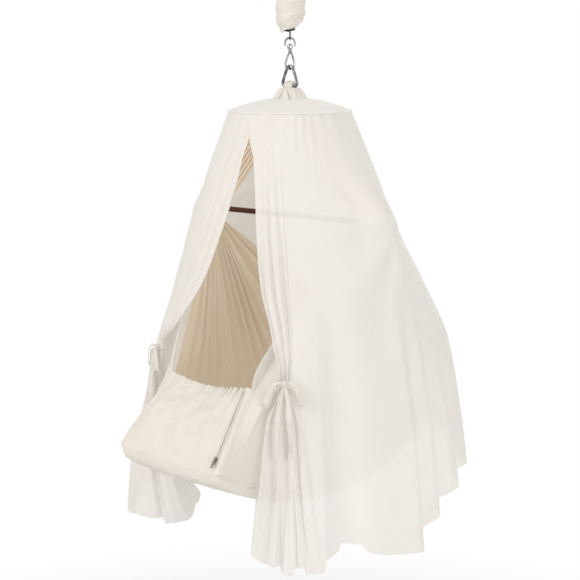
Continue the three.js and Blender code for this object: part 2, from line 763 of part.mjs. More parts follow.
// Basket base: a cloth tray that holds the mattress, curved up to both ends
// The floor's curve is a run of straight steps, so that what stands on it meets it face to face.
const floorHeight = barHeight - floorDrop;
function floorAt(y) {
  const place = ((y / basketHalfLength + 1) / 2) * floorStepCount;
  const step = THREE.MathUtils.clamp(Math.floor(place), 0, floorStepCount - 1);
  const curve = (index) => floorHeight + floorRise * ((2 * index) / floorStepCount - 1) ** 2;
  return mix(curve(step), curve(step + 1), place - step);
}

// A slab that follows the floor's curve, between two heights above it.
function curvedSlab(halfWidth, halfLength, low, high, crown = 0, columns = 1) {
  const rows = floorStepCount;
  const place = (column, row, lift) => {
    const x = mix(-halfWidth, halfWidth, column / columns);
    const y = mix(-halfLength, halfLength, row / rows);
    const rise = crown * (1 - (x / halfWidth) ** 2) * (1 - (y / halfLength) ** 4);
    return spot(x, y, floorAt(y) + lift + (lift === high ? rise : 0));
  };
  const front = (column, row) => place(column, row, high);
  const back = (column, row) => place(column, row, low);
  return gridSolid(front, back, columns, rows);
}
const trayInnerHalfWidth = basketHalfWidth - baseWall;
const trayInnerHalfLength = basketHalfLength - baseWall;
const tray = solidOf(curvedSlab(basketHalfWidth, basketHalfLength, -baseDepth, 0)).subtract(
  solidOf(curvedSlab(trayInnerHalfWidth, trayInnerHalfLength, -baseDepth + baseWall, baseDepth)),
);
add("base_tray", geometryOf(tray), creamCotton);
const mattressBottom = -baseDepth + baseWall + restGap;
const mattress = curvedSlab(
  trayInnerHalfWidth - mattressGap,
  trayInnerHalfLength - mattressGap,
  mattressBottom,
  mattressBottom + mattressHeight - mattressCrown,
  mattressCrown,
  6,
);
add("mattress", mattress, creamCotton);

// Side walls: fans of pleats from the bar loops down to the base's edges
const wallColumnCount = wallPleatCount * 2;
const wallRowCount = 4;
const wallTop = barHeight - barLoopRadius - restGap;
const wallTopOffset = (barLoopInnerEnd + barLoopOuterEnd) / 2;
const wallEndOffset = basketHalfLength - wallEndInset;
const cornerGap = clothThickness / 2 + 2 * seamGap;
const wallFoot = floorAt(wallEndOffset) + seamGap;
const pouchTopHeight = barHeight - pouchTopDrop;
const pouchTopOffset = pouchLength - basketHalfLength;
const pouchTopHalfWidth = basketHalfWidth - pouchTaper;
const headTopHeight = barHeight - headTopDrop;
const headTopOffset = basketHalfLength - headLean;
const headTopHalfWidth = basketHalfWidth - headTaper;

// The wall's front edge runs by the pouch's corner and side, and its back edge by the head panel's.
function edgePoint([outShare, alongShare, downShare], end, low) {
  return spot(wallTopOffset * outShare, end * alongShare, mix(wallTop, low, downShare));
}
const pouchSideY = (pouchTopOffset - wallEndOffset) / 2;
const headSideY = (headTopOffset + wallEndOffset) / 2;
const frontEdge = new THREE.CatmullRomCurve3([
  spot(wallTopOffset, -wallTopHalfDepth, wallTop),
  ...frontEdgeShares.map((shares) => edgePoint(shares, -basketHalfLength, pouchTopHeight)),
  spot(pouchTopHalfWidth + cornerGap, pouchTopOffset, pouchTopHeight),
  spot(pouchHalfWidth(0.5) + cornerGap, pouchSideY, (pouchTopHeight + wallFoot) / 2),
  spot(basketHalfWidth, -wallEndOffset, wallFoot),
]);
const backEdge = new THREE.CatmullRomCurve3([
  spot(wallTopOffset, wallTopHalfDepth, wallTop),
  edgePoint(backEdgeShares, headTopOffset, headTopHeight),
  spot(headTopHalfWidth + cornerGap, headTopOffset, headTopHeight),
  spot(headHalfWidth(0.5) + 2 * cornerGap, headSideY, (headTopHeight + wallFoot) / 2),
  spot(basketHalfWidth, wallEndOffset, wallFoot),
]);

function pouchHalfWidth(down) {
  return mix(pouchTopHalfWidth, basketHalfWidth - clothThickness, smooth(down, 0, 1));
}
function headHalfWidth(down) {
  return mix(headTopHalfWidth, basketHalfWidth - clothThickness, down);
}
function wallPath(along, down, side) {
  const y = mix(-wallEndOffset, wallEndOffset, along);
  const top = spot(wallTopOffset, mix(-wallTopHalfDepth, wallTopHalfDepth, along), wallTop);
  const foot = spot(basketHalfWidth, y, floorAt(y) + seamGap);
  const point = top.clone().lerp(foot, down);
  const pulls = [
    [frontEdge, Math.max(0, 1 - along / edgeReachShare) ** 2],
    [backEdge, Math.max(0, 1 - (1 - along) / edgeReachShare) ** 2],
  ];
  for (const [edge, pull] of pulls) point.lerp(edge.getPoint(down), pull);
  return point.setX(point.x * side);
}
function wallPoint(side) {
  return (along, down) => {
    const fold = Math.round(along * wallColumnCount) % 2 ? 1 : -1;
    const edge = along === 0 || along === 1 ? 0 : 1;
    const point = wallPath(along, down, side);
    const growth = Math.sin(Math.PI * Math.min(down + wallPleatStartShare, 1));
    return point.setX(point.x + fold * edge * wallPleatDepth * growth);
  };
}
for (const side of [-1, 1]) {
  const name = "side_wall_" + (side < 0 ? "left" : "right");
  add(name, sheet(wallPoint(side), wallColumnCount, wallRowCount, clothThickness, spot(1, 0, 0)), tanCotton);
}

// Plain borders sewn along the front edges of the walls, from the bar to the pouch
function borderPoint(side) {
  return (across, down) => {
    const point = wallPath(0, mix(borderTopShare, borderFootShare, down), side);
    const width = borderWidth * smooth(down, -0.3, 0.3);
    return point.add(spot(0, -4 * seamGap - width * across, width * across * borderTurnShare));
  };
}
for (const side of [-1, 1]) {
  const name = "wall_border_" + (side < 0 ? "left" : "right");
  add(name, sheet(borderPoint(side), 2, 8, clothThickness, spot(1, 0, 0)), creamCotton);
}

// Foot pouch: from its elastic top edge forward and down to the front seam
const pouchFoot = floorAt(basketHalfLength) + seamGap;
const pouchNormal = spot(0, pouchFoot - pouchTopHeight, pouchTopOffset + basketHalfLength).normalize();

function pouchPoint(across, down) {
  const x = mix(-pouchHalfWidth(down), pouchHalfWidth(down), across);
  const sag = pouchTopSag * (1 - down) ** 2 * Math.sin(Math.PI * across);
  const y = mix(pouchTopOffset, -basketHalfLength, down);
  const z = mix(pouchTopHeight, pouchFoot, down) - sag;
  const fromEdge = smooth(Math.min(across, 1 - across), pouchHemShare, 3 * pouchHemShare);
  const bulge = pouchBulge * Math.sin(Math.PI * down) * fromEdge;
  const wave = Math.sin(2 * Math.PI * pouchRuffleCount * across);
  const ruffle = pouchRuffleDepth * (1 - down) ** 4 * wave * fromEdge;
  return spot(x, y, z).addScaledVector(pouchNormal, bulge + ruffle);
}
add("foot_pouch", sheet(pouchPoint, 26, 6, clothThickness, pouchNormal), creamCotton);

// Head panel: the higher back end
function headPoint(across, down) {
  const x = mix(-headHalfWidth(down), headHalfWidth(down), across);
  const sag = headSag * Math.sin(Math.PI * across) * (1 - down);
  const y = mix(headTopOffset, basketHalfLength - clothThickness, down);
  return spot(x, y, mix(headTopHeight, pouchFoot, down) - sag);
}
add("head_panel", sheet(headPoint, 8, 5, clothThickness, spot(0, 1, 0)), creamCotton);

// Zipper strip, slider and pull along the pouch's right-hand edge
const zipTop = pouchPoint(zipperAcrossShare, zipperTopShare).addScaledVector(pouchNormal, zipperLift);
const zipFoot = pouchPoint(zipperAcrossShare, zipperFootShare).addScaledVector(pouchNormal, zipperLift);
const zipGroup = new THREE.Group();
const zipAlong = zipTop.clone().sub(zipFoot).normalize();
const zipOut = pouchNormal.clone().addScaledVector(zipAlong, -pouchNormal.dot(zipAlong)).normalize();
const zipAcross = new THREE.Vector3().crossVectors(zipAlong, zipOut).normalize();
zipGroup.applyMatrix4(new THREE.Matrix4().makeBasis(zipAcross, zipAlong, zipOut).setPosition(zipFoot));
cradle.add(zipGroup);
const zipLength = zipTop.distanceTo(zipFoot);
const tape = new THREE.BoxGeometry(zipperWidth, zipLength, zipperThickness).translate(0, zipLength / 2, 0);
add("zipper_tape", tape, tanCotton, zipGroup);
const sliderLow = zipperThickness / 2 + restGap;
const slider = new THREE.BoxGeometry(sliderWidth, sliderLength, sliderHeight);
slider.translate(0, zipperEndInset, sliderLow + sliderHeight / 2);
add("zip_slider", slider, zipMetal, zipGroup);
const pull = new THREE.BoxGeometry(pullWidth, pullLength, pullThickness);
pull.translate(0, zipperEndInset - pullLength / 2, sliderLow + sliderHeight + restGap + pullThickness / 2);
add("zip_pull", pull, zipMetal, zipGroup);

// Canopy cap, piping and hoop
const capSegmentCount = 32;
const rimHeight = gatherBottom - capDrop;
const capHoleRadius = gatherSkirtRadius + gatherPleatDepth + seamGap;
const capRise = gatherBottom + canopyThickness - rimHeight;
const hoopRing = rimRadius - canopyThickness - seamGap * 2 - hoopWireRadius;
function capHeight(radius) {
  return rimHeight + capRise * (1 - ((radius - capHoleRadius) / (rimRadius - capHoleRadius)) ** 1.6);
}
const capTopRow = capRowShares.map((share) => {
  const radius = mix(capHoleRadius, hoopRing, share);
  return [radius, capHeight(radius)];
});
capTopRow.push([rimRadius, rimHeight]);
const capUnder = capTopRow.map(([radius, height]) => [radius, height - canopyThickness]).reverse();
add("canopy_cap", turned([...capTopRow, ...capUnder, capTopRow[0]], capSegmentCount), canopyCotton);
const rimUnder = rimHeight - canopyThickness;
const pipingRing = rimRadius + pipingRadius + restGap;
const pipingHeight = rimUnder + pipingRadius - restGap;
const piping = new THREE.TorusGeometry(pipingRing, pipingRadius, 5, capSegmentCount);
piping.translate(0, 0, pipingHeight);
add("cap_piping", piping, canopyCotton);
const hoopHeight = capHeight(hoopRing) - canopyThickness - hoopWireRadius - seamGap * 1.6;
const hoop = new THREE.TorusGeometry(hoopRing, hoopWireRadius, 5, capSegmentCount);
hoop.translate(0, 0, hoopHeight);
add("cap_hoop", hoop, boning);

// The canopy's levels, as shares from the rim to the bar and from the bar to the front hem
const upperLevelShares = [0, 0.42, 1];
const lowerLevelShares = [0.19, 0.4, 0.62, 0.81, 1];
const levelHeights = [
  ...upperLevelShares.map((share) => mix(rimHeight, barHeight, share)),
  ...lowerLevelShares.map((share) => barHeight - canopyDrop * share),
];

// How far the canopy spreads from the rim to its widest, one row for each azimuth from the front in
// degrees, one share for each level; over the bar it clears the bar loops
const skirtTopRadius = rimRadius - skirtInset;
const canopyHalfWidth = barLoopOuterEnd + basketHalfWidth + canopyFlare;
const canopyHalfLength = basketHalfLength + canopyRearGap;
const overBarShare = (barLoopOuterEnd + canopyBarGap - skirtTopRadius) / (canopyHalfWidth - skirtTopRadius);
const frontSpreadShares = [
  [0, [0, 0.105, 0.264, 0.358, 0.441, 0.544, 0.623, 0.691]],
  [40, [0, 0.111, 0.258, 0.367, 0.517, 0.588, 0.676, 0.735]],
];
const backSpreadShares = [
  [90, [0, 0.181, overBarShare, 0.582, 0.67, 0.759, 0.805, 0.835]],
  [110, [0, 0.158, 0.335, 0.5, 0.68, 0.79, 0.84, 0.86]],
  [130, [0, 0.134, 0.302, 0.511, 0.71, 0.8, 0.84, 0.87]],
  [160, [0, 0.146, 0.352, 0.611, 0.865, 0.982, 0.994, 1]],
  [180, [0, 0.146, 0.358, 0.623, 0.865, 0.935, 0.959, 0.971]],
];
const rightSpreadShares = [
  ...frontSpreadShares,
  [60, [0, 0.128, 0.305, 0.431, 0.558, 0.647, 0.723, 0.77]],
  [75, [0, 0.155, 0.367, 0.5, 0.615, 0.705, 0.77, 0.81]],
  ...backSpreadShares,
];
const leftSpreadShares = [
  ...frontSpreadShares,
  [60, [0, 0.128, 0.265, 0.4, 0.57, 0.7, 0.8, 0.87]],
  [75, [0, 0.16, 0.34, 0.487, 0.61, 0.73, 0.82, 0.88]],
  ...backSpreadShares,
];

// The hem's drop as shares of the canopy's drop below the bar, against the azimuth from the front in
// degrees; on the right it rises where a deep fold turns inwards
const rightHemShares = [
  [0, 0.95],
  [26, 0.955],
  [31, 0.98],
  [36, 1.007],
  [40, 1.015],
  [51, 1.008],
  [56, 0.935],
  [60, 0.918],
  [67, 0.942],
  [76, 0.962],
  [86, 0.979],
  [90, 0.93],
  [95, 0.888],
  [101, 0.87],
  [108, 0.827],
  [118, 0.8],
  [125, 0.777],
  [180, 0.769],
];
const leftHemShares = [
  [0, 1],
  [40, 1.01],
  [52, 1.015],
  [68, 1.015],
  [75, 1.005],
  [90, 0.931],
  [110, 0.862],
  [125, 0.777],
  [180, 0.769],
];

// The canopy's deep folds as shares of their full depth, against the azimuth from the front in degrees
const backFoldShares = [
  [84, 1],
  [89, -0.8],
  [93.5, 0.6],
  [99, -1],
  [106, 0.9],
  [114, -0.8],
  [122, 0.7],
  [131, -0.6],
  [140, 0.5],
  [150, -0.5],
  [160, 0.4],
  [170, -0.3],
  [180, 0],
];
const rightFoldShares = [[52, 0], [58, -1.1], [66, 0.1], [75, 0.5], ...backFoldShares];
const leftFoldShares = [[62, 0], [75, 0.3], ...backFoldShares];

function canopySpread(azimuth, height) {
  const place = Math.abs(azimuth);
  const spreadShares = azimuth < 0 ? leftSpreadShares : rightSpreadShares;
  let row = 0;
  while (row < spreadShares.length - 2 && place > spreadShares[row + 1][0]) row++;
  const [fromPlace, fromShares] = spreadShares[row];
  const [toPlace, toShares] = spreadShares[row + 1];
  const share = smooth(place, fromPlace, toPlace);
  const levels = levelHeights.map((level, i) => [-level, mix(fromShares[i], toShares[i], share)]);
  return tableValue(levels, -height);
}
function hemHeight(azimuth) {
  return barHeight - canopyDrop * tableValue(azimuth < 0 ? leftHemShares : rightHemShares, Math.abs(azimuth));
}
function canopyFold(azimuth, height) {
  const fold = tableValue(azimuth < 0 ? leftFoldShares : rightFoldShares, Math.abs(azimuth));
  return canopyFoldDepth * fold * smooth(-height, -barHeight, canopyDrop - barHeight);
}
const skirtTopHeight = rimUnder - seamGap;
const levelRowCount = 5; // rows that lie on the levels above, before the hem's own rows
function canopyHeight(azimuth, row, rows) {
  if (row === 0) return skirtTopHeight;
  if (row <= levelRowCount) return levelHeights[row];
  return mix(levelHeights[levelRowCount], hemHeight(azimuth), (row - levelRowCount) / (rows - levelRowCount));
}
function canopySpot(azimuth, spread, height, fold = 0) {
  const across = mix(skirtTopRadius, canopyHalfWidth, spread) + fold;
  const along = mix(skirtTopRadius, canopyHalfLength, spread) + fold;
  return spot(across * Math.sin(azimuth * degrees), -along * Math.cos(azimuth * degrees), height);
}

// Side and back panels, with folds that grow towards the hem
const panelRowCount = 7;

function canopyPanel(from, to) {
  return (across, down) => {
    const azimuth = mix(from, to, across);
    const height = canopyHeight(azimuth, Math.round(down * panelRowCount), panelRowCount);
    return canopySpot(azimuth, canopySpread(azimuth, height), height, canopyFold(azimuth, height));
  };
}
const panelEdges = [
  ["canopy_side_right", seamAngle, backSeamAngle],
  ["canopy_back_right", backSeamAngle, 180],
  ["canopy_side_left", -backSeamAngle, -seamAngle],
  ["canopy_back_left", -180, -backSeamAngle],
];
for (const [name, from, to] of panelEdges) {
  const panel = canopyPanel(from + seamHalfGap, to - seamHalfGap);
  add(name, hangingSheet(panel, panelColumnCount, panelRowCount, canopyThickness), canopyCotton);
}

// Front flaps, gathered to a waist at the ties. Their places run from 0 at the rim over 1 at the tie
// to 2 at the hem. Against them stand the inner edge and the end of the gathered cloth, as shares of
// the seam's angle, and the inner edge's spread. Below its tie the left flap swings back past the
// basket and doubles forward in one large fold.
const rightFlap = {
  side: 1,
  tieHeight: barHeight - tieDropRight,
  hemSwell: 0,
  innerShares: [
    [0, 0.088],
    [0.08, 0.088],
    [0.175, 0.167],
    [0.324, 0.24],
    [0.474, 0.285],
    [0.696, 0.353],
    [0.802, 0.413],
    [0.873, 0.44],
    [0.975, 0.475],
    [1.033, 0.475],
    [1.239, 0.413],
    [1.536, 0.38],
    [2, 0.347],
  ],
  outerShares: [
    [0, 0.4],
    [0.175, 0.453],
    [0.474, 0.507],
    [0.696, 0.533],
    [0.873, 0.547],
    [0.975, 0.539],
    [1.033, 0.539],
    [1.239, 0.6],
    [1.536, 0.64],
    [2, 0.68],
  ],
  spreadShares: [
    [0, 0],
    [0.175, 0.111],
    [0.474, 0.282],
    [0.696, 0.393],
    [0.873, 0.494],
    [1, 0.526],
    [1.239, 0.573],
    [1.536, 0.623],
    [2, 0.67],
  ],
};
const leftFlap = {
  side: -1,
  tieHeight: barHeight - tieDropLeft,
  hemSwell: flapSwell,
  innerShares: [
    [0, -0.072],
    [0.084, -0.072],
    [0.187, -0.04],
    [0.286, -0.029],
    [0.378, 0],
    [0.55, 0.061],
    [0.675, 0.12],
    [0.808, 0.24],
    [0.903, 0.347],
    [0.974, 0.499],
    [1.031, 0.499],
    [1.283, 0.657],
    [1.563, 0.848],
    [2, 1.12],
  ],
  outerShares: [
    [0, 0.347],
    [0.187, 0.413],
    [0.497, 0.493],
    [0.73, 0.547],
    [0.903, 0.573],
    [0.974, 0.565],
    [1.031, 0.565],
    [1.283, 0.668],
    [1.563, 0.764],
    [2, 0.88],
  ],
  spreadShares: [
    [0, 0],
    [0.183, 0.108],
    [0.497, 0.276],
    [0.73, 0.385],
    [0.903, 0.482],
    [1, 0.511],
    [1.283, 0.459],
    [1.563, 0.45],
    [2, 0.544],
  ],
};
const gatheredColumnCount = 4 * flapPleatCount;
const flapColumnCount = gatheredColumnCount + 10;
const gatheredShare = gatheredColumnCount / flapColumnCount;
const flapUpperShares = [0, 0.09, 0.25, 0.46, 0.67, 0.82, 1];
const flapLowerShares = [0, 0.2, 0.59, 1];
const flapRowCount = flapUpperShares.length + flapLowerShares.length - 1;

// A point of a flap's cloth, or of the surface that its pleats lie about where the pleats are 0. The
// pleats stand square to the line across the gathered cloth.
function flapPoint(flap, pleats = 1) {
  const flapHem = hemHeight(flap.side * flapHemAngle);
  const waistTop = flap.tieHeight + waistHalfHeight;
  const waistFoot = flap.tieHeight - waistHalfHeight;
  const heights = [
    ...flapUpperShares.map((share) => mix(skirtTopHeight, waistTop, share)),
    ...flapLowerShares.map((share) => mix(waistFoot, flapHem, share)),
  ];
  return (across, down) => {
    const height = heights[Math.round(down * flapRowCount)];
    const above = (skirtTopHeight - height) / (skirtTopHeight - flap.tieHeight);
    const below = (flap.tieHeight - height) / (flap.tieHeight - flapHem);
    const place = height > flap.tieHeight ? above : 1 + below;
    const level = (skirtTopHeight - height) / (skirtTopHeight - flapHem);
    const inner = seamAngle * tableValue(flap.innerShares, place);
    const outer = seamAngle * tableValue(flap.outerShares, place);
    const gathered = Math.min(across / gatheredShare, 1);
    const beyond = Math.max(across - gatheredShare, 0) / (1 - gatheredShare);
    const seam = seamAngle - seamHalfGap;
    const ownAngle = across < gatheredShare ? mix(inner, outer, gathered) : mix(outer, seam, beyond);
    const azimuth = flap.side * ownAngle;
    const ownHeight = mix(skirtTopHeight, hemHeight(azimuth), level);
    const innerSpread = tableValue(flap.spreadShares, place);
    const spread = mix(innerSpread, canopySpread(azimuth, ownHeight), smooth(gathered, 0, 1));
    const from = canopySpot(flap.side * inner, innerSpread, height);
    const to = canopySpot(flap.side * outer, canopySpread(flap.side * outer, height), height);
    const square = spot(to.y - from.y, from.x - to.x, 0).setLength(flap.side);
    const pull = Math.exp(-(((height - flap.tieHeight) / waistReach) ** 2));
    const depth = mix(flapPleatDepth * smooth(level, 0, 0.4), flapWaistPleatDepth, pull);
    const wave = Math.sin(2 * Math.PI * flapPleatCount * gathered) * (across < gatheredShare ? 1 : 0);
    const swell = flap.hemSwell * smooth(place, 1, 2) * Math.sin(Math.PI * gathered);
    const fold = across < gatheredShare ? 0 : canopyFold(azimuth, ownHeight);
    const lift = pleats * depth * wave + swell;
    return canopySpot(azimuth, spread, ownHeight, fold).addScaledVector(square, lift);
  };
}
for (const [name, flap] of [["canopy_flap_right", rightFlap], ["canopy_flap_left", leftFlap]]) {
  add(name, hangingSheet(flapPoint(flap), flapColumnCount, flapRowCount, canopyThickness), canopyCotton);
}

// Ties: a band round each flap's waist, a knot, two loops and two tails
function tieRibbon(path) {
  const width = spot(0, 1, 0);
  const last = path.length - 1;
  const tangent = (i) => path[Math.min(i + 1, last)].clone().sub(path[Math.max(i - 1, 0)]).normalize();
  const side = (i) => new THREE.Vector3().crossVectors(tangent(i), width).setLength(tieRibbonThickness / 2);
  const face = (sign) => (column, row) => {
    const edge = (column - 0.5) * tieRibbonWidth;
    return path[row].clone().addScaledVector(width, edge).addScaledVector(side(row), sign);
  };
  return gridSolid(face(1), face(-1), 1, last);
}

// The middle of a flap's waist, between the two rows of points beside its tie.
function waistPoint(flap, across) {
  const surface = flapPoint(flap, 0);
  const row = flapUpperShares.length - 1;
  return surface(across, row / flapRowCount).lerp(surface(across, (row + 1) / flapRowCount), 0.5);
}

function addTie(name, flap) {
  const across = waistPoint(flap, gatheredShare).sub(waistPoint(flap, 0));
  const group = new THREE.Group();
  group.position.copy(waistPoint(flap, gatheredShare / 2));
  group.rotation.z = Math.atan2(flap.side * across.y, flap.side * across.x);
  cradle.add(group);
  const bandArcCount = 14;
  const band = (grow) => (column, row) => {
    const angle = mix(tieBandStart, tieBandEnd, column / bandArcCount) * degrees;
    const flat = (value) => Math.sign(value) * Math.abs(value) ** 0.45;
    const x = (tieWaistHalfWidth + grow) * flat(Math.cos(angle));
    const y = (tieWaistHalfDepth + grow) * flat(Math.sin(angle));
    return spot(flap.side * x, y, (row - 0.5) * tieRibbonWidth);
  };
  add(name + "_band", gridSolid(band(tieRibbonThickness), band(0), bandArcCount, 1), canopyCotton, group);
  const front = -tieWaistHalfDepth - tieRibbonThickness - restGap;
  const knot = new THREE.SphereGeometry(tieKnotRadius, 8, 4).scale(1, 0.7, 1);
  knot.translate(0, front - tieKnotRadius * 0.7, 0);
  add(name + "_knot", closedFrom(knot), canopyCotton, group);
  const face = front - tieKnotRadius * 0.7;
  for (const side of [-1, 1]) {
    const word = side < 0 ? "left" : "right";
    const start = tieKnotRadius + seamGap;
    const bend = [
      spot(side * start, face, 0),
      spot(side * (start + tieLoopLength * 0.28), face - tieLoopLean, tieLoopHalfWidth * 0.5),
      spot(side * (start + tieLoopLength * 0.52), face - tieLoopLean, -tieLoopLength * 0.2),
      spot(side * (start + tieLoopLength * 0.5), face - tieLoopLean, -tieLoopLength * 0.55),
      spot(side * (start + tieLoopLength * 0.3), face - tieLoopLean, -tieLoopLength * 0.5),
      spot(side * (start + tieLoopLength * 0.06), face, -tieLoopHalfWidth * 0.62),
    ];
    add(name + "_loop_" + word, tieRibbon(smoothPath(bend, 10)), canopyCotton, group);
    const tailTop = -tieKnotRadius - restGap;
    const tail = [
      spot(side * (tieRibbonThickness / 2 + restGap), face, tailTop),
      spot(side * tieTailSpread * 0.4, face - tieTailLean * 0.4, tailTop - tieTailLength * 0.35),
      spot(side * tieTailSpread * 0.6, face - tieTailLean * 0.8, tailTop - tieTailLength * 0.7),
      spot(side * tieTailSpread * 0.5, face - tieTailLean, tailTop - tieTailLength),
    ];
    add(name + "_tail_" + word, tieRibbon(smoothPath(tail, 6)), canopyCotton, group);
  }
}
addTie("tie_right", rightFlap);
addTie("tie_left", leftFlap);

export default cradle;
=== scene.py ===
"""Looks for a hanging baby cradle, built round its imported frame.

Lengths are worked out in millimetres and put into the meshes in metres. Z is up, z = 0 is the top
of the ceiling plate, X runs along the spreader bar and the foot pouch is at -Y.
"""
import bpy
import math
import numpy as np
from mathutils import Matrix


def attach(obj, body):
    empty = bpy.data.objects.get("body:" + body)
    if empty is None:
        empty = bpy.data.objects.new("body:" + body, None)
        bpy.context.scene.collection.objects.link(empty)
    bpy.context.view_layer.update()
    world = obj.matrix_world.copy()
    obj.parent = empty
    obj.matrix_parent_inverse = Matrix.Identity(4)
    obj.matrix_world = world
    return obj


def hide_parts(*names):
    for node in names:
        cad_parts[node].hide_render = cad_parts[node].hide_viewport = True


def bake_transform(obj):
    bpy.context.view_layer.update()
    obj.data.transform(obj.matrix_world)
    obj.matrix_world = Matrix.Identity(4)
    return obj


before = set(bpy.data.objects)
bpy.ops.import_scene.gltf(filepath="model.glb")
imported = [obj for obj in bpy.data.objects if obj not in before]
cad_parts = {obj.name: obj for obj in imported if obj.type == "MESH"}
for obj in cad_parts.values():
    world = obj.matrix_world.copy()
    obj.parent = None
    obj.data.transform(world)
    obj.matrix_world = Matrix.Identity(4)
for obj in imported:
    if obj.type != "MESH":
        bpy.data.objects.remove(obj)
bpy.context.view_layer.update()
MM = 0.001

# ---------------------------------------------------------------- camera, light and room
CAMERA_AZIMUTH = 40.0
CAMERA_REACH = 3.67
CAMERA_HEIGHT = -0.370
CAMERA_DOWN = 9.613
FOCAL_PIXELS = 1476.0
PICTURE_PIXELS = 580.0
SENSOR_WIDTH = 36.0

turn = math.radians(CAMERA_AZIMUTH)
camera_data = bpy.data.cameras.new("camera")
camera_data.sensor_width = SENSOR_WIDTH
camera_data.lens = SENSOR_WIDTH * FOCAL_PIXELS / PICTURE_PIXELS
camera_data.clip_end = 60.0
camera = bpy.data.objects.new("camera", camera_data)
camera.location = (CAMERA_REACH * math.sin(turn), -CAMERA_REACH * math.cos(turn), CAMERA_HEIGHT)
camera.rotation_euler = (math.radians(90 - CAMERA_DOWN), 0, turn)
bpy.context.scene.collection.objects.link(camera)
bpy.context.scene.camera = camera
bpy.context.scene.view_settings.view_transform = "Standard"


def lamp(name, place, aim, size, watts, colour):
    """A soft square lamp that looks from its place at a point."""
    data = bpy.data.lights.new(name, "AREA")
    data.size, data.energy, data.color = size, watts, colour
    thing = bpy.data.objects.new(name, data)
    thing.location = place
    away = np.array(place) - np.array(aim)
    level = math.hypot(away[0], away[1])
    thing.rotation_euler = (math.atan2(level, away[2]), 0, math.atan2(away[0], -away[1]))
    bpy.context.scene.collection.objects.link(thing)


lamp("key", (-1.9, -4.9, 1.0), (0, 0, -1.0), 2.0, 92, (1.0, 0.985, 0.965))
lamp("fill", (5.2, -1.6, -0.2), (0, 0, -1.0), 2.6, 77, (0.985, 0.99, 1.0))
lamp("top", (0.6, -0.9, 2.6), (0, 0, -0.5), 2.6, 17, (1.0, 0.995, 0.985))
lamp("back", (-1.5, 5.2, 0.8), (0, 0, -1.0), 3.0, 70, (1.0, 0.99, 0.97))


# ---------------------------------------------------------------- shader effects
class Board:
    """Places nodes in a tree and links them, so that a material reads as a few lines."""

    def __init__(self, tree):
        self.tree = tree

    def feed(self, node, values):
        """Gives inputs, by name or number, their values or the sockets that they follow."""
        for name, value in values.items():
            socket = node.inputs[name]
            if isinstance(value, bpy.types.NodeSocket):
                self.tree.links.new(value, socket)
            else:
                socket.default_value = value

    def put(self, kind, values=None, **settings):
        """A new node of a kind with its settings and inputs."""
        node = self.tree.nodes.new("ShaderNode" + kind)
        for name, value in settings.items():
            setattr(node, name, value)
        self.feed(node, values or {})
        return node

    def sum(self, kind, *values):
        """One Math node of a kind, its inputs numbers or sockets."""
        return self.put("Math", dict(enumerate(values)), operation=kind).outputs[0]

    def ramp(self, factor, stops):
        """A ramp between coloured stops of (place, colour)."""
        node = self.put("ValToRGB", {"Fac": factor})
        elements = node.color_ramp.elements
        while len(elements) < len(stops):
            elements.new(0.5)
        for element, (place, colour) in zip(elements, stops):
            element.position = place
            element.color = (*colour, 1)
        return node.outputs["Color"]

    def noise(self, vector, scale, detail=3.0, rough=0.5):
        """Cloudy noise between 0 and 1."""
        values = {"Vector": vector, "Scale": scale, "Detail": detail, "Roughness": rough}
        return self.put("TexNoise", values).outputs["Fac"]

    def seen(self):
        """1 for the rays that show a thing as it is: the camera's, and those of reflections and through glass."""
        rays = self.put("LightPath").outputs
        direct = self.sum("MAXIMUM", rays["Is Camera Ray"], rays["Is Glossy Ray"])
        return self.sum("MAXIMUM", direct, rays["Is Transmission Ray"])


def white_room():
    """A world that is white to look at, and lights what stands in it more weakly and a little warmer."""
    world = bpy.data.worlds.new("room")
    bpy.context.scene.world = world
    world.use_nodes = True
    world.node_tree.nodes.clear()
    b = Board(world.node_tree)
    light = b.put("Background", {"Color": (1.0, 0.99, 0.975, 1), "Strength": 0.60})
    white = b.put("Background", {"Color": (1, 1, 1, 1), "Strength": 1.0})
    room = b.put("MixShader", {"Fac": b.seen(), 1: light.outputs[0], 2: white.outputs[0]})
    b.put("OutputWorld", {"Surface": room.outputs[0]})


def effect(name, inputs, outputs):
    """A new node group with named inputs (name, kind, value) and outputs that are numbers."""
    group = bpy.data.node_groups.new(name, "ShaderNodeTree")
    for label, kind, value in inputs:
        socket = group.interface.new_socket(label, in_out="INPUT", socket_type="NodeSocket" + kind)
        if value is not None:
            socket.default_value = value
    for label in outputs:
        group.interface.new_socket(label, in_out="OUTPUT", socket_type="NodeSocketFloat")
    given = group.nodes.new("NodeGroupInput").outputs
    return group, Board(group), given, group.nodes.new("NodeGroupOutput")


def woven_effect():
    """Plain weave on a UV map in metres: over and under threads as two crossed sines, with thick slubs."""
    inputs = [("Vector", "Vector", None), ("Threads", "Float", 900.0), ("Slub", "Float", 0.5)]
    group, b, given, out = effect("woven threads", inputs, ["Height", "Shade"])
    split = b.put("SeparateXYZ", {0: given["Vector"]}).outputs
    turns = b.sum("MULTIPLY", given["Threads"], 2 * math.pi)
    across, along = (b.sum("SINE", b.sum("MULTIPLY", split[axis], turns)) for axis in "XY")
    weave = b.sum("MULTIPLY", across, along)
    stretches = ((30, 900, 1), (900, 30, 1))
    stretched = [b.put("Mapping", {"Vector": given["Vector"], "Scale": stretch}) for stretch in stretches]
    first, second = (b.noise(mapped.outputs[0], 1.0, 2.0) for mapped in stretched)
    slubs = b.sum("MULTIPLY", b.sum("ADD", first, second), given["Slub"])
    height = b.sum("ADD", b.sum("MULTIPLY", weave, 0.35), slubs)
    b.feed(out, {"Height": height, "Shade": b.sum("MULTIPLY", slubs, 0.5)})
    return group


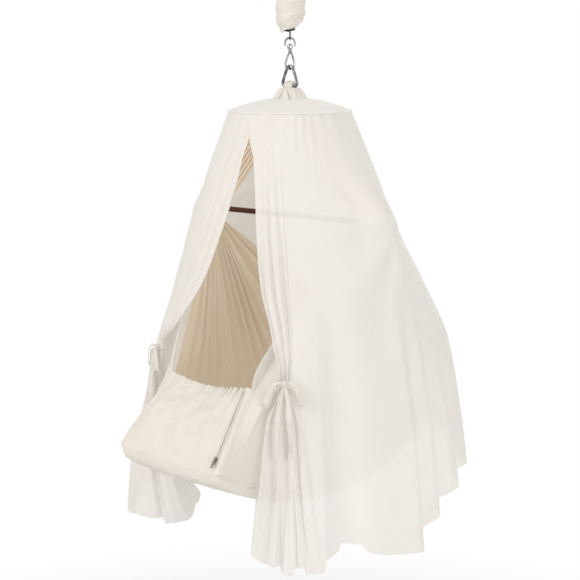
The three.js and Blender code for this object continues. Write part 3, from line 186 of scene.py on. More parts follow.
def crumple_effect():
    """Soft creases of washed cotton: ridged noise at two sizes on Object coordinates."""
    inputs = [("Vector", "Vector", None), ("Scale", "Float", 9.0)]
    group, b, given, out = effect("washed creases", inputs, ["Height", "Shade"])
    bent = b.put("TexNoise", {"Vector": given["Vector"], "Scale": 4.0, "Detail": 1.0}).outputs["Color"]
    bend = b.put("VectorMath", {0: bent, 1: (0.12, 0.12, 0.2)}, operation="MULTIPLY").outputs[0]
    place = b.put("VectorMath", {0: given["Vector"], 1: bend}, operation="ADD").outputs[0]
    large = b.noise(place, given["Scale"], 3.0)
    small = b.noise(place, b.sum("MULTIPLY", given["Scale"], 4.3), 2.0)
    ridge = b.sum("ABSOLUTE", b.sum("SUBTRACT", large, 0.5))
    height = b.sum("ADD", b.sum("MULTIPLY", ridge, -2.0), b.sum("MULTIPLY", small, 0.25))
    b.feed(out, {"Height": height, "Shade": large})
    return group


def wear_and_reflection_effect():
    """Fine marks for metal as stretched noise, and cloudy noise that is partly smudges and partly painted
    reflection: dark and light patches that stand in for the surroundings the steel reflects.
    """
    inputs = [("Vector", "Vector", None), ("Scale", "Float", 120.0)]
    group, b, given, out = effect("handled surface", inputs, ["Height", "Smudge"])
    fine = b.put("Mapping", {"Vector": given["Vector"], "Scale": (1, 1, 0.12)}).outputs[0]
    marks = b.noise(fine, b.sum("MULTIPLY", given["Scale"], 9.0), 3.0)
    b.feed(out, {"Height": marks, "Smudge": b.noise(given["Vector"], given["Scale"], 3.0)})
    return group


WOVEN, CREASED, WEAR_AND_REFLECTION = woven_effect(), crumple_effect(), wear_and_reflection_effect()


def new_material(name):
    """An empty material and its board."""
    material = bpy.data.materials.new(name)
    material.use_nodes = True
    material.node_tree.nodes.clear()
    return material, Board(material.node_tree)


def cotton(name, light, shade, threads, weave, crease, scale=9.0, cover=1.0, lets=0.25, glow=0.15):
    """Cotton cloth: creases and weave in the normal, slubs and soft patches in the colour.

    cover is the share of the cloth that its threads fill as the eye sees it, lets the share of the lamps'
    light that comes through to light what is behind, and glow how much spreads within the cloth. A sheet
    has two faces, and the one met from within is open, so that each share counts once.
    """
    material, b = new_material(name)
    place = b.put("TexCoord").outputs["Object"]
    uv = b.put("UVMap", uv_map="cloth").outputs["UV"]
    woven = b.put("Group", {"Vector": uv, "Threads": threads}, node_tree=WOVEN).outputs
    creased = b.put("Group", {"Vector": place, "Scale": scale}, node_tree=CREASED).outputs
    patches = b.sum("ADD", b.sum("MULTIPLY", creased["Shade"], 0.7), b.sum("MULTIPLY", woven["Shade"], 0.6))
    soft = b.put("Bump", {"Strength": crease, "Distance": 0.012, "Height": creased["Height"]}).outputs["Normal"]
    fine = b.put("Bump", {"Strength": weave, "Distance": 0.0004, "Height": woven["Height"], "Normal": soft})
    rays = b.put("LightPath").outputs
    lighting = b.sum("MAXIMUM", rays["Is Shadow Ray"], rays["Is Diffuse Ray"])
    outward = b.sum("SUBTRACT", 1.0, b.put("NewGeometry").outputs["Backfacing"])
    filled = b.put("MapRange", {"Value": lighting, "To Min": cover, "To Max": 1.0 - lets}).outputs[0]
    surface = b.put("BsdfPrincipled", {
        "Base Color": b.ramp(patches, [(0.35, shade), (0.75, light)]), "Roughness": 0.88,
        "Normal": fine.outputs["Normal"], "Sheen Weight": 0.15, "Sheen Roughness": 0.5,
        "Specular IOR Level": 0.2, "Subsurface Weight": glow, "Subsurface Radius": (1, 1, 1),
        "Subsurface Scale": 0.0015, "Alpha": b.sum("MULTIPLY", filled, outward),
    })
    b.put("OutputMaterial", {"Surface": surface.outputs[0]})
    return material


def metal(name, light, dark, rough, scale=120.0):
    """Plated metal, its roughness broken by smudges and fine marks, and its colour by cloudy dark and light patches
    that are partly smudges and partly painted reflection.
    """
    material, b = new_material(name)
    place = b.put("TexCoord").outputs["Object"]
    handling_and_reflection = b.put("Group", {"Vector": place, "Scale": scale}, node_tree=WEAR_AND_REFLECTION).outputs
    gloss = b.put("MapRange", {"Value": handling_and_reflection["Smudge"], "To Min": rough * 0.7, "To Max": rough * 1.5})
    marks = b.put("Bump", {"Strength": 0.05, "Distance": 0.0002, "Height": handling_and_reflection["Height"]})
    # Painted reflection: the base colour runs from dark to light over the cloudy patches. This stands in partly for
    # reflected dark and bright surroundings and partly for smudges.
    surface = b.put("BsdfPrincipled", {
        "Base Color": b.ramp(handling_and_reflection["Smudge"], [(0.3, dark), (0.65, light)]), "Roughness": gloss.outputs[0],
        "Normal": marks.outputs["Normal"], "Metallic": 1.0,
    })
    b.put("OutputMaterial", {"Surface": surface.outputs[0]})
    return material


def wood(name):
    """Dark stained wood: grain stretched along X, pores and a satin coat."""
    material, b = new_material(name)
    place = b.put("TexCoord").outputs["Object"]
    long = b.put("Mapping", {"Vector": place, "Scale": (2.2, 60, 60)}).outputs[0]
    short = b.put("Mapping", {"Vector": place, "Scale": (40, 900, 900)}).outputs[0]
    grain, pores = b.noise(long, 1.6, 6.0, 0.62), b.noise(short, 1.0, 2.0)
    mixed = b.sum("ADD", b.sum("MULTIPLY", grain, 0.8), b.sum("MULTIPLY", pores, 0.2))
    stain = [(0.3, (0.03, 0.008, 0.003)), (0.5, (0.075, 0.022, 0.008)), (0.72, (0.13, 0.043, 0.015))]
    bump = b.put("Bump", {"Strength": 0.25, "Distance": 0.0004, "Height": mixed})
    gloss = b.put("MapRange", {"Value": mixed, "To Min": 0.3, "To Max": 0.5})
    surface = b.put("BsdfPrincipled", {
        "Base Color": b.ramp(mixed, stain), "Roughness": gloss.outputs[0], "Normal": bump.outputs["Normal"],
        "Coat Weight": 0.05, "Coat Roughness": 0.35, "Specular IOR Level": 0.2,
    })
    b.put("OutputMaterial", {"Surface": surface.outputs[0]})
    return material


def plastic(name, light, shade):
    """Smooth moulded plastic with faint clouds in its gloss."""
    material, b = new_material(name)
    cloud = b.noise(b.put("TexCoord").outputs["Object"], 40.0, 2.0)
    gloss = b.put("MapRange", {"Value": cloud, "To Min": 0.35, "To Max": 0.5}).outputs[0]
    colour = b.ramp(cloud, [(0.3, shade), (0.7, light)])
    surface = b.put("BsdfPrincipled", {"Base Color": colour, "Roughness": gloss})
    b.put("OutputMaterial", {"Surface": surface.outputs[0]})
    return material


CANOPY = cotton("canopy cotton", (0.87, 0.843, 0.80), (0.845, 0.815, 0.768), 1400, 0.15, 0.16, 7.0,
                cover=0.89, lets=0.7, glow=0.2)
# Painted light: the cap's cloth is a little lighter than the canopy's, so that its upward-facing top, which gets
# less light, renders as bright.
CAP = cotton("cap cotton", (0.885, 0.86, 0.82), (0.86, 0.83, 0.785), 1400, 0.15, 0.10, 9.0, lets=0.45)
CREAM = cotton("cream cotton", (0.84, 0.805, 0.74), (0.80, 0.76, 0.69), 1100, 0.3, 0.22, 12.0, lets=0.3)
TAN = cotton("unbleached cotton", (0.90, 0.79, 0.64), (0.85, 0.735, 0.585), 1100, 0.3, 0.15, 12.0, lets=0.3)
TAPE = cotton("zipper tape cotton", (0.80, 0.77, 0.70), (0.76, 0.72, 0.64), 1300, 0.5, 0.02, 20.0)
COVER = cotton("mattress cover", (0.85, 0.82, 0.76), (0.82, 0.785, 0.72), 1000, 0.3, 0.1, 12.0)
RIBBON = cotton("ribbon cotton", (0.85, 0.82, 0.76), (0.78, 0.745, 0.68), 1500, 0.5, 0.25, 30.0)
# The metals' dark colours are partly painted reflection of dark surroundings and partly smudges.
STEEL = metal("plated steel", (0.43, 0.44, 0.455), (0.10, 0.105, 0.11), 0.12, 75.0)
LINK_STEEL = metal("polished link steel", (0.36, 0.365, 0.375), (0.04, 0.04, 0.045), 0.1, 60.0)
DARK_STEEL = metal("dark spring steel", (0.13, 0.13, 0.135), (0.05, 0.05, 0.055), 0.3)
ZIP_METAL = metal("zip metal", (0.36, 0.33, 0.30), (0.16, 0.145, 0.13), 0.32, 400.0)
TEETH_METAL = metal("zip teeth metal", (0.46, 0.42, 0.37), (0.26, 0.235, 0.21), 0.35, 400.0)
WALNUT = wood("stained wood")
BONING = plastic("hoop plastic", (0.82, 0.81, 0.78), (0.76, 0.75, 0.72))


# ---------------------------------------------------------------- shapes in numpy
def mix(a, b, t):
    """From a to b by a share: a + (b - a) t."""
    return a + (b - a) * t


def shares(count, low=0.0, high=1.0):
    """Evenly spaced numbers, both ends with them."""
    return np.linspace(low, high, count)


def full_turn(count):
    """Evenly spaced angles that go once round, the last a step before the first."""
    return 2 * math.pi * shares(count + 1)[:-1]


def grid(down, across):
    """Two arrays of one shape: the places down along the rows, and those across along the columns."""
    return np.meshgrid(down, across, indexing="ij")


def smooth(x, low, high):
    """0 below low, 1 above high, and the curve 3t^2 - 2t^3 between."""
    t = np.clip((np.asarray(x, float) - low) / (high - low), 0, 1)
    return t * t * (3 - 2 * t)


def arch(x):
    """0 at 0 and at 1, and 1 halfway: sin(pi x)."""
    return np.sin(math.pi * x)


def bell(x, middle, width):
    """exp(-((x - middle) / width)^2): 1 at the middle, fading to either side."""
    return np.exp(-(((x - middle) / width) ** 2))


def unit(vectors):
    """The same directions at length 1."""
    vectors = np.asarray(vectors, float)
    return vectors / np.maximum(np.linalg.norm(vectors, axis=-1, keepdims=True), 1e-9)


def point(x, y, z):
    """Stacks coordinates, numbers or arrays, into points."""
    return np.stack(np.broadcast_arrays(x, y, z), -1).astype(float)


def polar(radius, angle, height):
    """Points about the Z axis."""
    return point(radius * np.cos(angle), radius * np.sin(angle), height)


def curve_through(places, values, x):
    """A smooth curve through rows of (place, value): cubic pieces whose slopes never overshoot.

    The values are numbers, or an array for each place in the shape of x.
    """
    x, places, values = np.asarray(x, float), np.asarray(places, float), np.asarray(values, float)
    if values.ndim == 1:
        values = np.broadcast_to(values.reshape(-1, *[1] * x.ndim), (len(places), *x.shape))
    gaps = np.diff(places).reshape(-1, *[1] * x.ndim)
    rises = np.diff(values, axis=0) / gaps
    slopes = np.zeros(values.shape)
    same = rises[:-1] * rises[1:] > 0
    slopes[1:-1] = np.where(same, 2 * rises[:-1] * rises[1:] / np.where(same, rises[:-1] + rises[1:], 1), 0)
    slopes[0], slopes[-1] = rises[0], rises[-1]
    i = np.clip(np.searchsorted(places, x, side="right") - 1, 0, len(places) - 2)
    h = np.diff(places)[i]
    t = np.clip((x - places[i]) / h, 0, 1)
    read = lambda rows, k: np.take_along_axis(rows, (i + k)[None], 0)[0]
    return ((1 + 2 * t) * (1 - t) ** 2 * read(values, 0) + t * (1 - t) ** 2 * h * read(slopes, 0)
            + t * t * (3 - 2 * t) * read(values, 1) + t * t * (t - 1) * h * read(slopes, 1))


def spline(points, t, closed=False):
    """A centripetal Catmull-Rom curve through points, read at shares t of its pieces."""
    points = np.asarray(points, float)
    if closed:
        around = np.vstack([points[-1], points, points[0], points[1]])
        pieces = len(points)
    else:
        around = np.vstack([2 * points[0] - points[1], points, 2 * points[-1] - points[-2]])
        pieces = len(points) - 1
    place = np.clip(np.asarray(t, float), 0, 1) * pieces
    i = np.minimum(place.astype(int), pieces - 1)
    w = (place - i)[..., None]
    p0, p1, p2, p3 = (around[i + k] for k in range(4))
    d0, d1, d2 = (np.maximum(np.linalg.norm(b - a, axis=-1, keepdims=True) ** 0.5, 1e-6)
                  for a, b in ((p0, p1), (p1, p2), (p2, p3)))
    first = ((p1 - p0) / d0 - (p2 - p0) / (d0 + d1) + (p2 - p1) / d1) * d1
    last = ((p2 - p1) / d1 - (p3 - p1) / (d1 + d2) + (p3 - p2) / d2) * d1
    return ((2 * w**3 - 3 * w**2 + 1) * p1 + (w**3 - 2 * w**2 + w) * first
            + (-2 * w**3 + 3 * w**2) * p2 + (w**3 - w**2) * last)


def even_path(points, count, closed=False):
    """The same curve read at points evenly spaced along its length."""
    fine = spline(points, np.linspace(0, 1, 1200), closed)
    run = np.concatenate([[0], np.cumsum(np.linalg.norm(np.diff(fine, axis=0), axis=1))])
    want = np.linspace(0, run[-1], count + 1)[:-1] if closed else np.linspace(0, run[-1], count)
    return np.stack([np.interp(want, run, fine[:, k]) for k in range(3)], 1)


def ripples(x, y, seed, count=6, low=1.0, high=4.0):
    """A gentle random surface: the mean of a few plane waves whose directions and lengths are seeded."""
    rng = np.random.default_rng(seed)
    total = 0.0
    limits = ((low, high), (-high, high), (0, 2 * math.pi))
    for kx, ky, phase in zip(*[rng.uniform(*ends, count) for ends in limits]):
        total = total + np.sin(kx * x + ky * y + phase)
    return total / count


def grid_faces(rows, columns, wrap_rows=False, wrap_columns=False):
    """Quads between the neighbours of a grid of points numbered row by row."""
    r, c = grid(np.arange(rows if wrap_rows else rows - 1), np.arange(columns if wrap_columns else columns - 1))
    r2, c2 = (r + 1) % rows, (c + 1) % columns
    return np.stack([r * columns + c, r * columns + c2, r2 * columns + c2, r2 * columns + c], -1).reshape(-1, 4)


def facing_out(points, faces):
    """Turns a closed surface's faces round if the volume they hold comes out negative."""
    volume = 0.0
    for block in faces:
        a, b, c = points[block[:, 0]], points[block[:, 1]], points[block[:, 2]]
        volume += (a * np.cross(b, c)).sum()
        if block.shape[1] == 4:
            d = points[block[:, 3]]
            volume += (a * np.cross(c, d)).sum()
    return faces if volume > 0 else [block[:, ::-1] for block in faces]


def capped(rings, ends, uv=None, plane=(0, 1)):
    """Rings of points, row by row, closed at both ends by fans about two end points.

    Where no UVs are given, they are the points' own coordinates in a plane.
    """
    rows, columns = rings.shape[:2]
    count, last = rows * columns, (rows - 1) * columns
    line = np.arange(columns)
    after = (line + 1) % columns
    first_fan = np.stack([np.full(columns, count), after, line], 1)
    last_fan = np.stack([np.full(columns, count + 1), last + line, last + after], 1)
    points = np.vstack([rings.reshape(-1, 3), ends])
    faces = facing_out(points, [grid_faces(rows, columns, False, True), first_fan, last_fan])
    return points, faces, points[:, plane] if uv is None else np.vstack([uv.reshape(-1, 2), np.zeros((2, 2))]), None


def shell(middle, thickness, wrap=False, lining=False):
    """A closed sheet of cloth: its middle surface moved half the thickness to either side, the edges joined.

    The sides lie along the surface's normal. UVs are lengths along the grid.
    Where lining is asked for, the face on the side away from the normal takes the second material.
    """
    rows, columns = middle.shape[:2]
    around = (np.roll(middle, -1, 1) - np.roll(middle, 1, 1)) / 2 if wrap else np.gradient(middle, axis=1)
    normal = unit(np.cross(around, np.gradient(middle, axis=0)))
    half = np.broadcast_to(np.asarray(thickness, float), (rows, columns))[..., None] / 2
    points = np.concatenate([(middle + normal * half).reshape(-1, 3), (middle - normal * half).reshape(-1, 3)])
    layer = rows * columns
    front = grid_faces(rows, columns, False, wrap)
    back = front[:, ::-1] + layer
    line = np.arange(columns)
    after = (line + 1) % columns
    if not wrap:
        line, after = line[:-1], after[:-1]
    top = np.stack([line, line + layer, after + layer, after], 1)
    foot = (rows - 1) * columns
    bottom = np.stack([foot + line, foot + after, foot + after + layer, foot + line + layer], 1)
    faces = [front, back, top, bottom]
    if not wrap:
        side = np.arange(rows - 1) * columns
        faces.append(np.stack([side, side + columns, side + columns + layer, side + layer], 1))
        side = side + columns - 1
        faces.append(np.stack([side, side + layer, side + columns + layer, side + columns], 1))
    slots = np.concatenate([np.full(len(block), 1 if lining and k == 1 else 0) for k, block in enumerate(faces)])
    u = np.cumsum(np.linalg.norm(np.diff(middle, axis=1, prepend=middle[:, :1]), axis=-1).mean(0))
    v = np.cumsum(np.linalg.norm(np.diff(middle, axis=0, prepend=middle[:1]), axis=-1).mean(1))
    uv = np.stack(np.meshgrid(u, v), -1).reshape(-1, 2)
    return points, facing_out(points, faces), np.concatenate([uv, uv]), slots


def sheet_size(middle):
    """(width, length, area) in metres of a cloth's middle surface, laid out flat."""
    across = np.linalg.norm(np.diff(middle, axis=1), axis=-1).sum(1).max()
    along = np.linalg.norm(np.diff(middle, axis=0), axis=-1).sum(0).max()
    a, b, c, d = middle[:-1, :-1], middle[:-1, 1:], middle[1:, 1:], middle[1:, :-1]
    halves = [np.linalg.norm(np.cross(p - a, q - a), axis=-1).sum() for p, q in ((b, c), (c, d))]
    area = (halves[0] + halves[1]) / 2
    return across * MM, along * MM, area * MM * MM


def turned(profile, segments=64, ring=False, swell=None):
    """A profile of (radius, height) rows turned about Z.

    Ends that lie on the axis close in a pole, and a ring closes on itself.
    swell, where given, is a function of (angle, row) that returns a factor for the radius.
    """
    profile = np.asarray(profile, float)
    angle = np.linspace(0, 2 * math.pi, segments, endpoint=False)
    poles = [] if ring else [end for end in (0, len(profile) - 1) if profile[end, 0] < 1e-6]
    body = np.array([row for i, row in enumerate(profile) if i not in poles])
    radius = body[:, :1] * (1 if swell is None else swell(angle[None, :], np.arange(len(body))[:, None]))
    radius = np.broadcast_to(radius, (len(body), segments))
    points = polar(radius, angle, body[:, 1:2]).reshape(-1, 3)
    faces = [grid_faces(len(body), segments, ring, True)]
    line = np.arange(segments)
    after = (line + 1) % segments
    for end in poles:
        centre = len(points)
        points = np.vstack([points, [0, 0, profile[end, 1]]])
        edge = 0 if end == 0 else (len(body) - 1) * segments
        fan = np.stack([np.full(segments, centre), edge + after, edge + line], 1)
        faces.append(fan if end == 0 else fan[:, ::-1])
    return points, facing_out(points, faces), points[:, :2], None


def eased(profile, size, steps=4):
    """Rounds the corners of a profile: each is cut at a size along both its sides and bridged by a curve."""
    profile = np.asarray(profile, float)
    rows = [profile[0]]
    for before, corner, after in zip(profile[:-2], profile[1:-1], profile[2:]):
        reach_in, reach_out = np.linalg.norm(corner - before), np.linalg.norm(after - corner)
        cut = min(size, reach_in * 0.49, reach_out * 0.49)
        start = corner + (before - corner) * cut / max(reach_in, 1e-9)
        end = corner + (after - corner) * cut / max(reach_out, 1e-9)
        for t in np.linspace(0, 1, steps):
            rows.append((1 - t) ** 2 * start + 2 * t * (1 - t) * corner + t * t * end)
    rows.append(profile[-1])
    return np.array(rows)


def rod(radius, low, high, ease, sides, steps=4):
    """A round bar along Z between two heights, its edges eased."""
    return turned(eased([(0, low), (radius, low), (radius, high), (0, high)], ease, steps), sides)


def bar_along(path, radius, hint, sides=20, closed=False):
    """A round bar: rings of points about a path, set square to it from a hint of direction, the ends domed."""
    path = np.asarray(path, float)
    radius = np.broadcast_to(np.asarray(radius, float), len(path)).copy()
    hint = np.broadcast_to(np.asarray(hint, float), path.shape)
    if closed:
        tangent = unit(np.roll(path, -1, 0) - np.roll(path, 1, 0))
    else:
        tangent = unit(np.gradient(path, axis=0))
        bends = np.radians([12, 35, 60])
        dome, inset = np.sin(bends), np.cos(bends)
        start = path[0] - tangent[0] * (radius[0] * inset)[:, None] * 0.6
        end = path[-1] + tangent[-1] * (radius[-1] * inset[::-1])[:, None] * 0.6
        path = np.vstack([start, path, end])
        tangent, hint = (np.vstack([np.repeat(rows[:1], 3, 0), rows, np.repeat(rows[-1:], 3, 0)])
                         for rows in (tangent, hint))
        radius = np.concatenate([radius[0] * dome, radius, radius[-1] * dome[::-1]])
    normal = unit(hint - tangent * (hint * tangent).sum(-1, keepdims=True))
    across = np.cross(tangent, normal)
    angle = np.linspace(0, 2 * math.pi, sides, endpoint=False)
    rings = path[:, None] + radius[:, None, None] * (
        np.cos(angle)[None, :, None] * normal[:, None] + np.sin(angle)[None, :, None] * across[:, None])
    run = np.concatenate([[0], np.cumsum(np.linalg.norm(np.diff(path, axis=0), axis=1))])
    uv = np.stack([np.tile(angle * radius.mean(), len(path)), np.repeat(run, sides)], 1)
    if not closed:
        return capped(rings, [path[0], path[-1]], uv)
    points = rings.reshape(-1, 3)
    return points, facing_out(points, [grid_faces(len(path), sides, True, True)]), uv, None


def moved(patch, matrix=None, shift=(0, 0, 0)):
    """A patch turned by a 3 by 3 matrix and shifted."""
    points = patch[0] if matrix is None else patch[0] @ np.asarray(matrix, float).T
    return points + np.asarray(shift, float), patch[1], patch[2], patch[3]


def placed(patches, matrix, shift=(0, 0, 0)):
    """Several patches turned and shifted together."""
    return [moved(patch, matrix, shift) for patch in patches]


def about_z(degrees):
    """The turn about the Z axis as a matrix."""
    a = math.radians(degrees)
    return np.array([[math.cos(a), -math.sin(a), 0], [math.sin(a), math.cos(a), 0], [0, 0, 1]])


ALONG_X = np.array([[0, 0, 1], [0, 1, 0], [-1, 0, 0]])
ALONG_Y = np.array([[1, 0, 0], [0, 0, 1], [0, -1, 0]])


def make(name, patches, materials, body, replaces=(), crease=40.0):
    """Joins patches into one mesh object at the origin, gives it its finish and body, and hides the CAD nodes that
    it replaces.
    """
    patches = [patches] if isinstance(patches, tuple) else patches
    materials = materials if isinstance(materials, (list, tuple)) else [materials]
    points, uvs, faces, slots, count = [], [], [], [], 0
    for patch_points, patch_faces, patch_uv, patch_slots in patches:
        points.append(patch_points)
        uvs.append(patch_uv)
        faces += [block + count for block in patch_faces]
        total = sum(len(block) for block in patch_faces)
        slots.append(np.zeros(total, int) if patch_slots is None else patch_slots)
        count += len(patch_points)
    points, uvs, slots = np.vstack(points) * MM, np.vstack(uvs) * MM, np.concatenate(slots)
    sizes = np.concatenate([np.full(len(block), block.shape[1]) for block in faces])
    corners = np.concatenate([block.reshape(-1) for block in faces])
    mesh = bpy.data.meshes.new(name)
    mesh.vertices.add(len(points))
    mesh.vertices.foreach_set("co", points.reshape(-1))
    mesh.loops.add(len(corners))
    mesh.loops.foreach_set("vertex_index", corners)
    mesh.polygons.add(len(sizes))
    mesh.polygons.foreach_set("loop_start", np.concatenate([[0], np.cumsum(sizes)[:-1]]))
    mesh.polygons.foreach_set("material_index", slots)
    mesh.polygons.foreach_set("use_smooth", np.ones(len(sizes), bool))
    mesh.update(calc_edges=True)
    mesh.uv_layers.new(name="cloth").data.foreach_set("uv", uvs[corners].reshape(-1))
    mesh.validate()
    mesh.set_sharp_from_angle(angle=math.radians(crease))
    for material in materials:
        mesh.materials.append(material)
    thing = bpy.data.objects.new(name, mesh)
    bpy.context.scene.collection.objects.link(thing)
    if body:
        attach(thing, body)
    for name_replaced in replaces:
        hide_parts(name_replaced)
    return thing


def cloth(name, middle, thickness, materials, replaces, wrap=False, body="basket",
          lining=False):
    thing = make(name, shell(middle, thickness, wrap, lining), materials, body, replaces, 60.0)
    closed = np.concatenate([middle, middle[:, :1]], 1) if wrap else middle
    width, length, area = sheet_size(closed)
    return thing


# ---------------------------------------------------------------- the hanging line
PLATE_R, PLATE_H = 40.0, 6.0
EYE_RING_R, EYE_WIRE_R, EYE_RING_Z = 15.0, 4.0, -29.0
CLIP_R, CLIP_HALF, CLIP_TOP, CLIP_FOOT = 4.0, 16.0, -35.7, -107.7
CLIP_GATE_R, CLIP_GATE_FOOT, CLIP_GATE_HEAD = 3.2, -84.7, -58.7
PIVOT_GAP = 0.4
SPRING_R, COIL_R, LOOP_R, SPRING_TOP, SPRING_FOOT = 2.1, 10.9, 10.0, -101.3, -369.55
SPRING_NECK, SPRING_TURNS, SPRING_YAW = 10.0, 14, 130.0
SLEEVE_TOP, SLEEVE_LENGTH = -143.3, 200.0
BOW_R, BOW_HALF, BOW_TOP, BOW_YAW = 2.5, 12.2, -364.65, 40.0
SWIVEL_R, SWIVEL_TOP, SWIVEL_FOOT, SWIVEL_BORE = 7.5, -382.15, -391.15, 3.35
HOOK_R, HOOK_HALF, HOOK_FOOT, HOOK_YAW = 2.8, 13.0, -440.15, 75.0
HOOK_LENGTH, HOOK_BODY_R, HOOK_SHOULDER, HOOK_NOSE = 49.0, 4.4, 5.0, 3.5
LINK_R, LINK_TOP, LINK_FOOT, LINK_YAW = 3.75, -433.0, -482.5, 5.0
LINK_HALF, LINK_CORNER, LINK_CROWN = 21.5, 8.0, 10.5
SCREW_RING_R, SCREW_HOLE_R, SOCKET_R = 27, 2.8, 5.3
CLOSED_FROM, CLOSED_SHARE, CLOSED_RUN = 0.77, 0.23, 15


def arc_yz(centre, radius, start, end, count):
    """Points of an arc in the YZ plane, by degrees from +Y."""
    a = np.radians(np.linspace(start, end, count))
    return point(0, radius * np.cos(a), centre + radius * np.sin(a))


def arc_xz(centre, radius, start, end, count, shift=0.0):
    """Points of an arc in the XZ plane, by degrees from +X."""
    a = np.radians(np.linspace(start, end, count))
    return point(shift + radius * np.cos(a), 0, centre + radius * np.sin(a))


def ceiling_plate():
    """A turned disc with eased edges, its three screw holes and the eye's socket cut through."""
    plate = make("ceiling_plate_turned", rod(PLATE_R, -PLATE_H, 0, 1.0, 96), STEEL, None)
    holes = [*((screw_place(i), SCREW_HOLE_R, 5.0) for i in range(3)), ((0, 0, 0), SOCKET_R, -2.0)]
    for place, radius, top in holes:
        drill = turned([(0, -12), (radius, -12), (radius, top), (0, top)], 32)
        cutter = make("cutter", moved(drill, None, place), STEEL, None)
        cut = plate.modifiers.new("cut", "BOOLEAN")
        cut.operation, cut.object, cut.solver = "DIFFERENCE", cutter, "EXACT"
        mesh = bpy.data.meshes.new_from_object(plate.evaluated_get(bpy.context.evaluated_depsgraph_get()))
        plate.modifiers.clear()
        plate.data = mesh
        bpy.data.objects.remove(cutter)
    plate.data.set_sharp_from_angle(angle=math.radians(35))
    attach(plate, "ceiling_fitting")
    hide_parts("ceiling_plate")


def screw_place(index):
    """One of three places a third of a turn apart, the first of them at +Y."""
    a = 2 * math.pi * index / 3 + math.pi / 2
    return np.array([SCREW_RING_R * math.cos(a), SCREW_RING_R * math.sin(a), 0])


def ceiling_screw(index):
    """A pan head with a hexagonal socket, and its shank up through the plate."""
    head = -PLATE_H - 0.3
    rows = [(0, head - 1.3), (1.5, head - 1.3), (1.6, head - 2.75), (3.0, head - 2.8), (4.2, head - 2.2),
            (4.6, head - 1.1), (4.6, head - 0.3), (4.3, head), (2.4, head), (2.4, -0.8), (2.0, -0.3), (0, -0.3)]

    def hexagon(angle, row):
        """The factor that gives the first two rows, the socket's, six flats."""
        flats = np.cos(math.pi / 6) / np.cos((angle % (math.pi / 3)) - math.pi / 6)
        return np.where(row < 2, flats * 1.12, 1.0)

    patch = moved(turned(rows, 48, swell=hexagon), None, screw_place(index))
    make(f"ceiling_screw_{index + 1}_turned", patch, STEEL, "ceiling_fitting",
         [f"ceiling_screw_{index + 1}"])


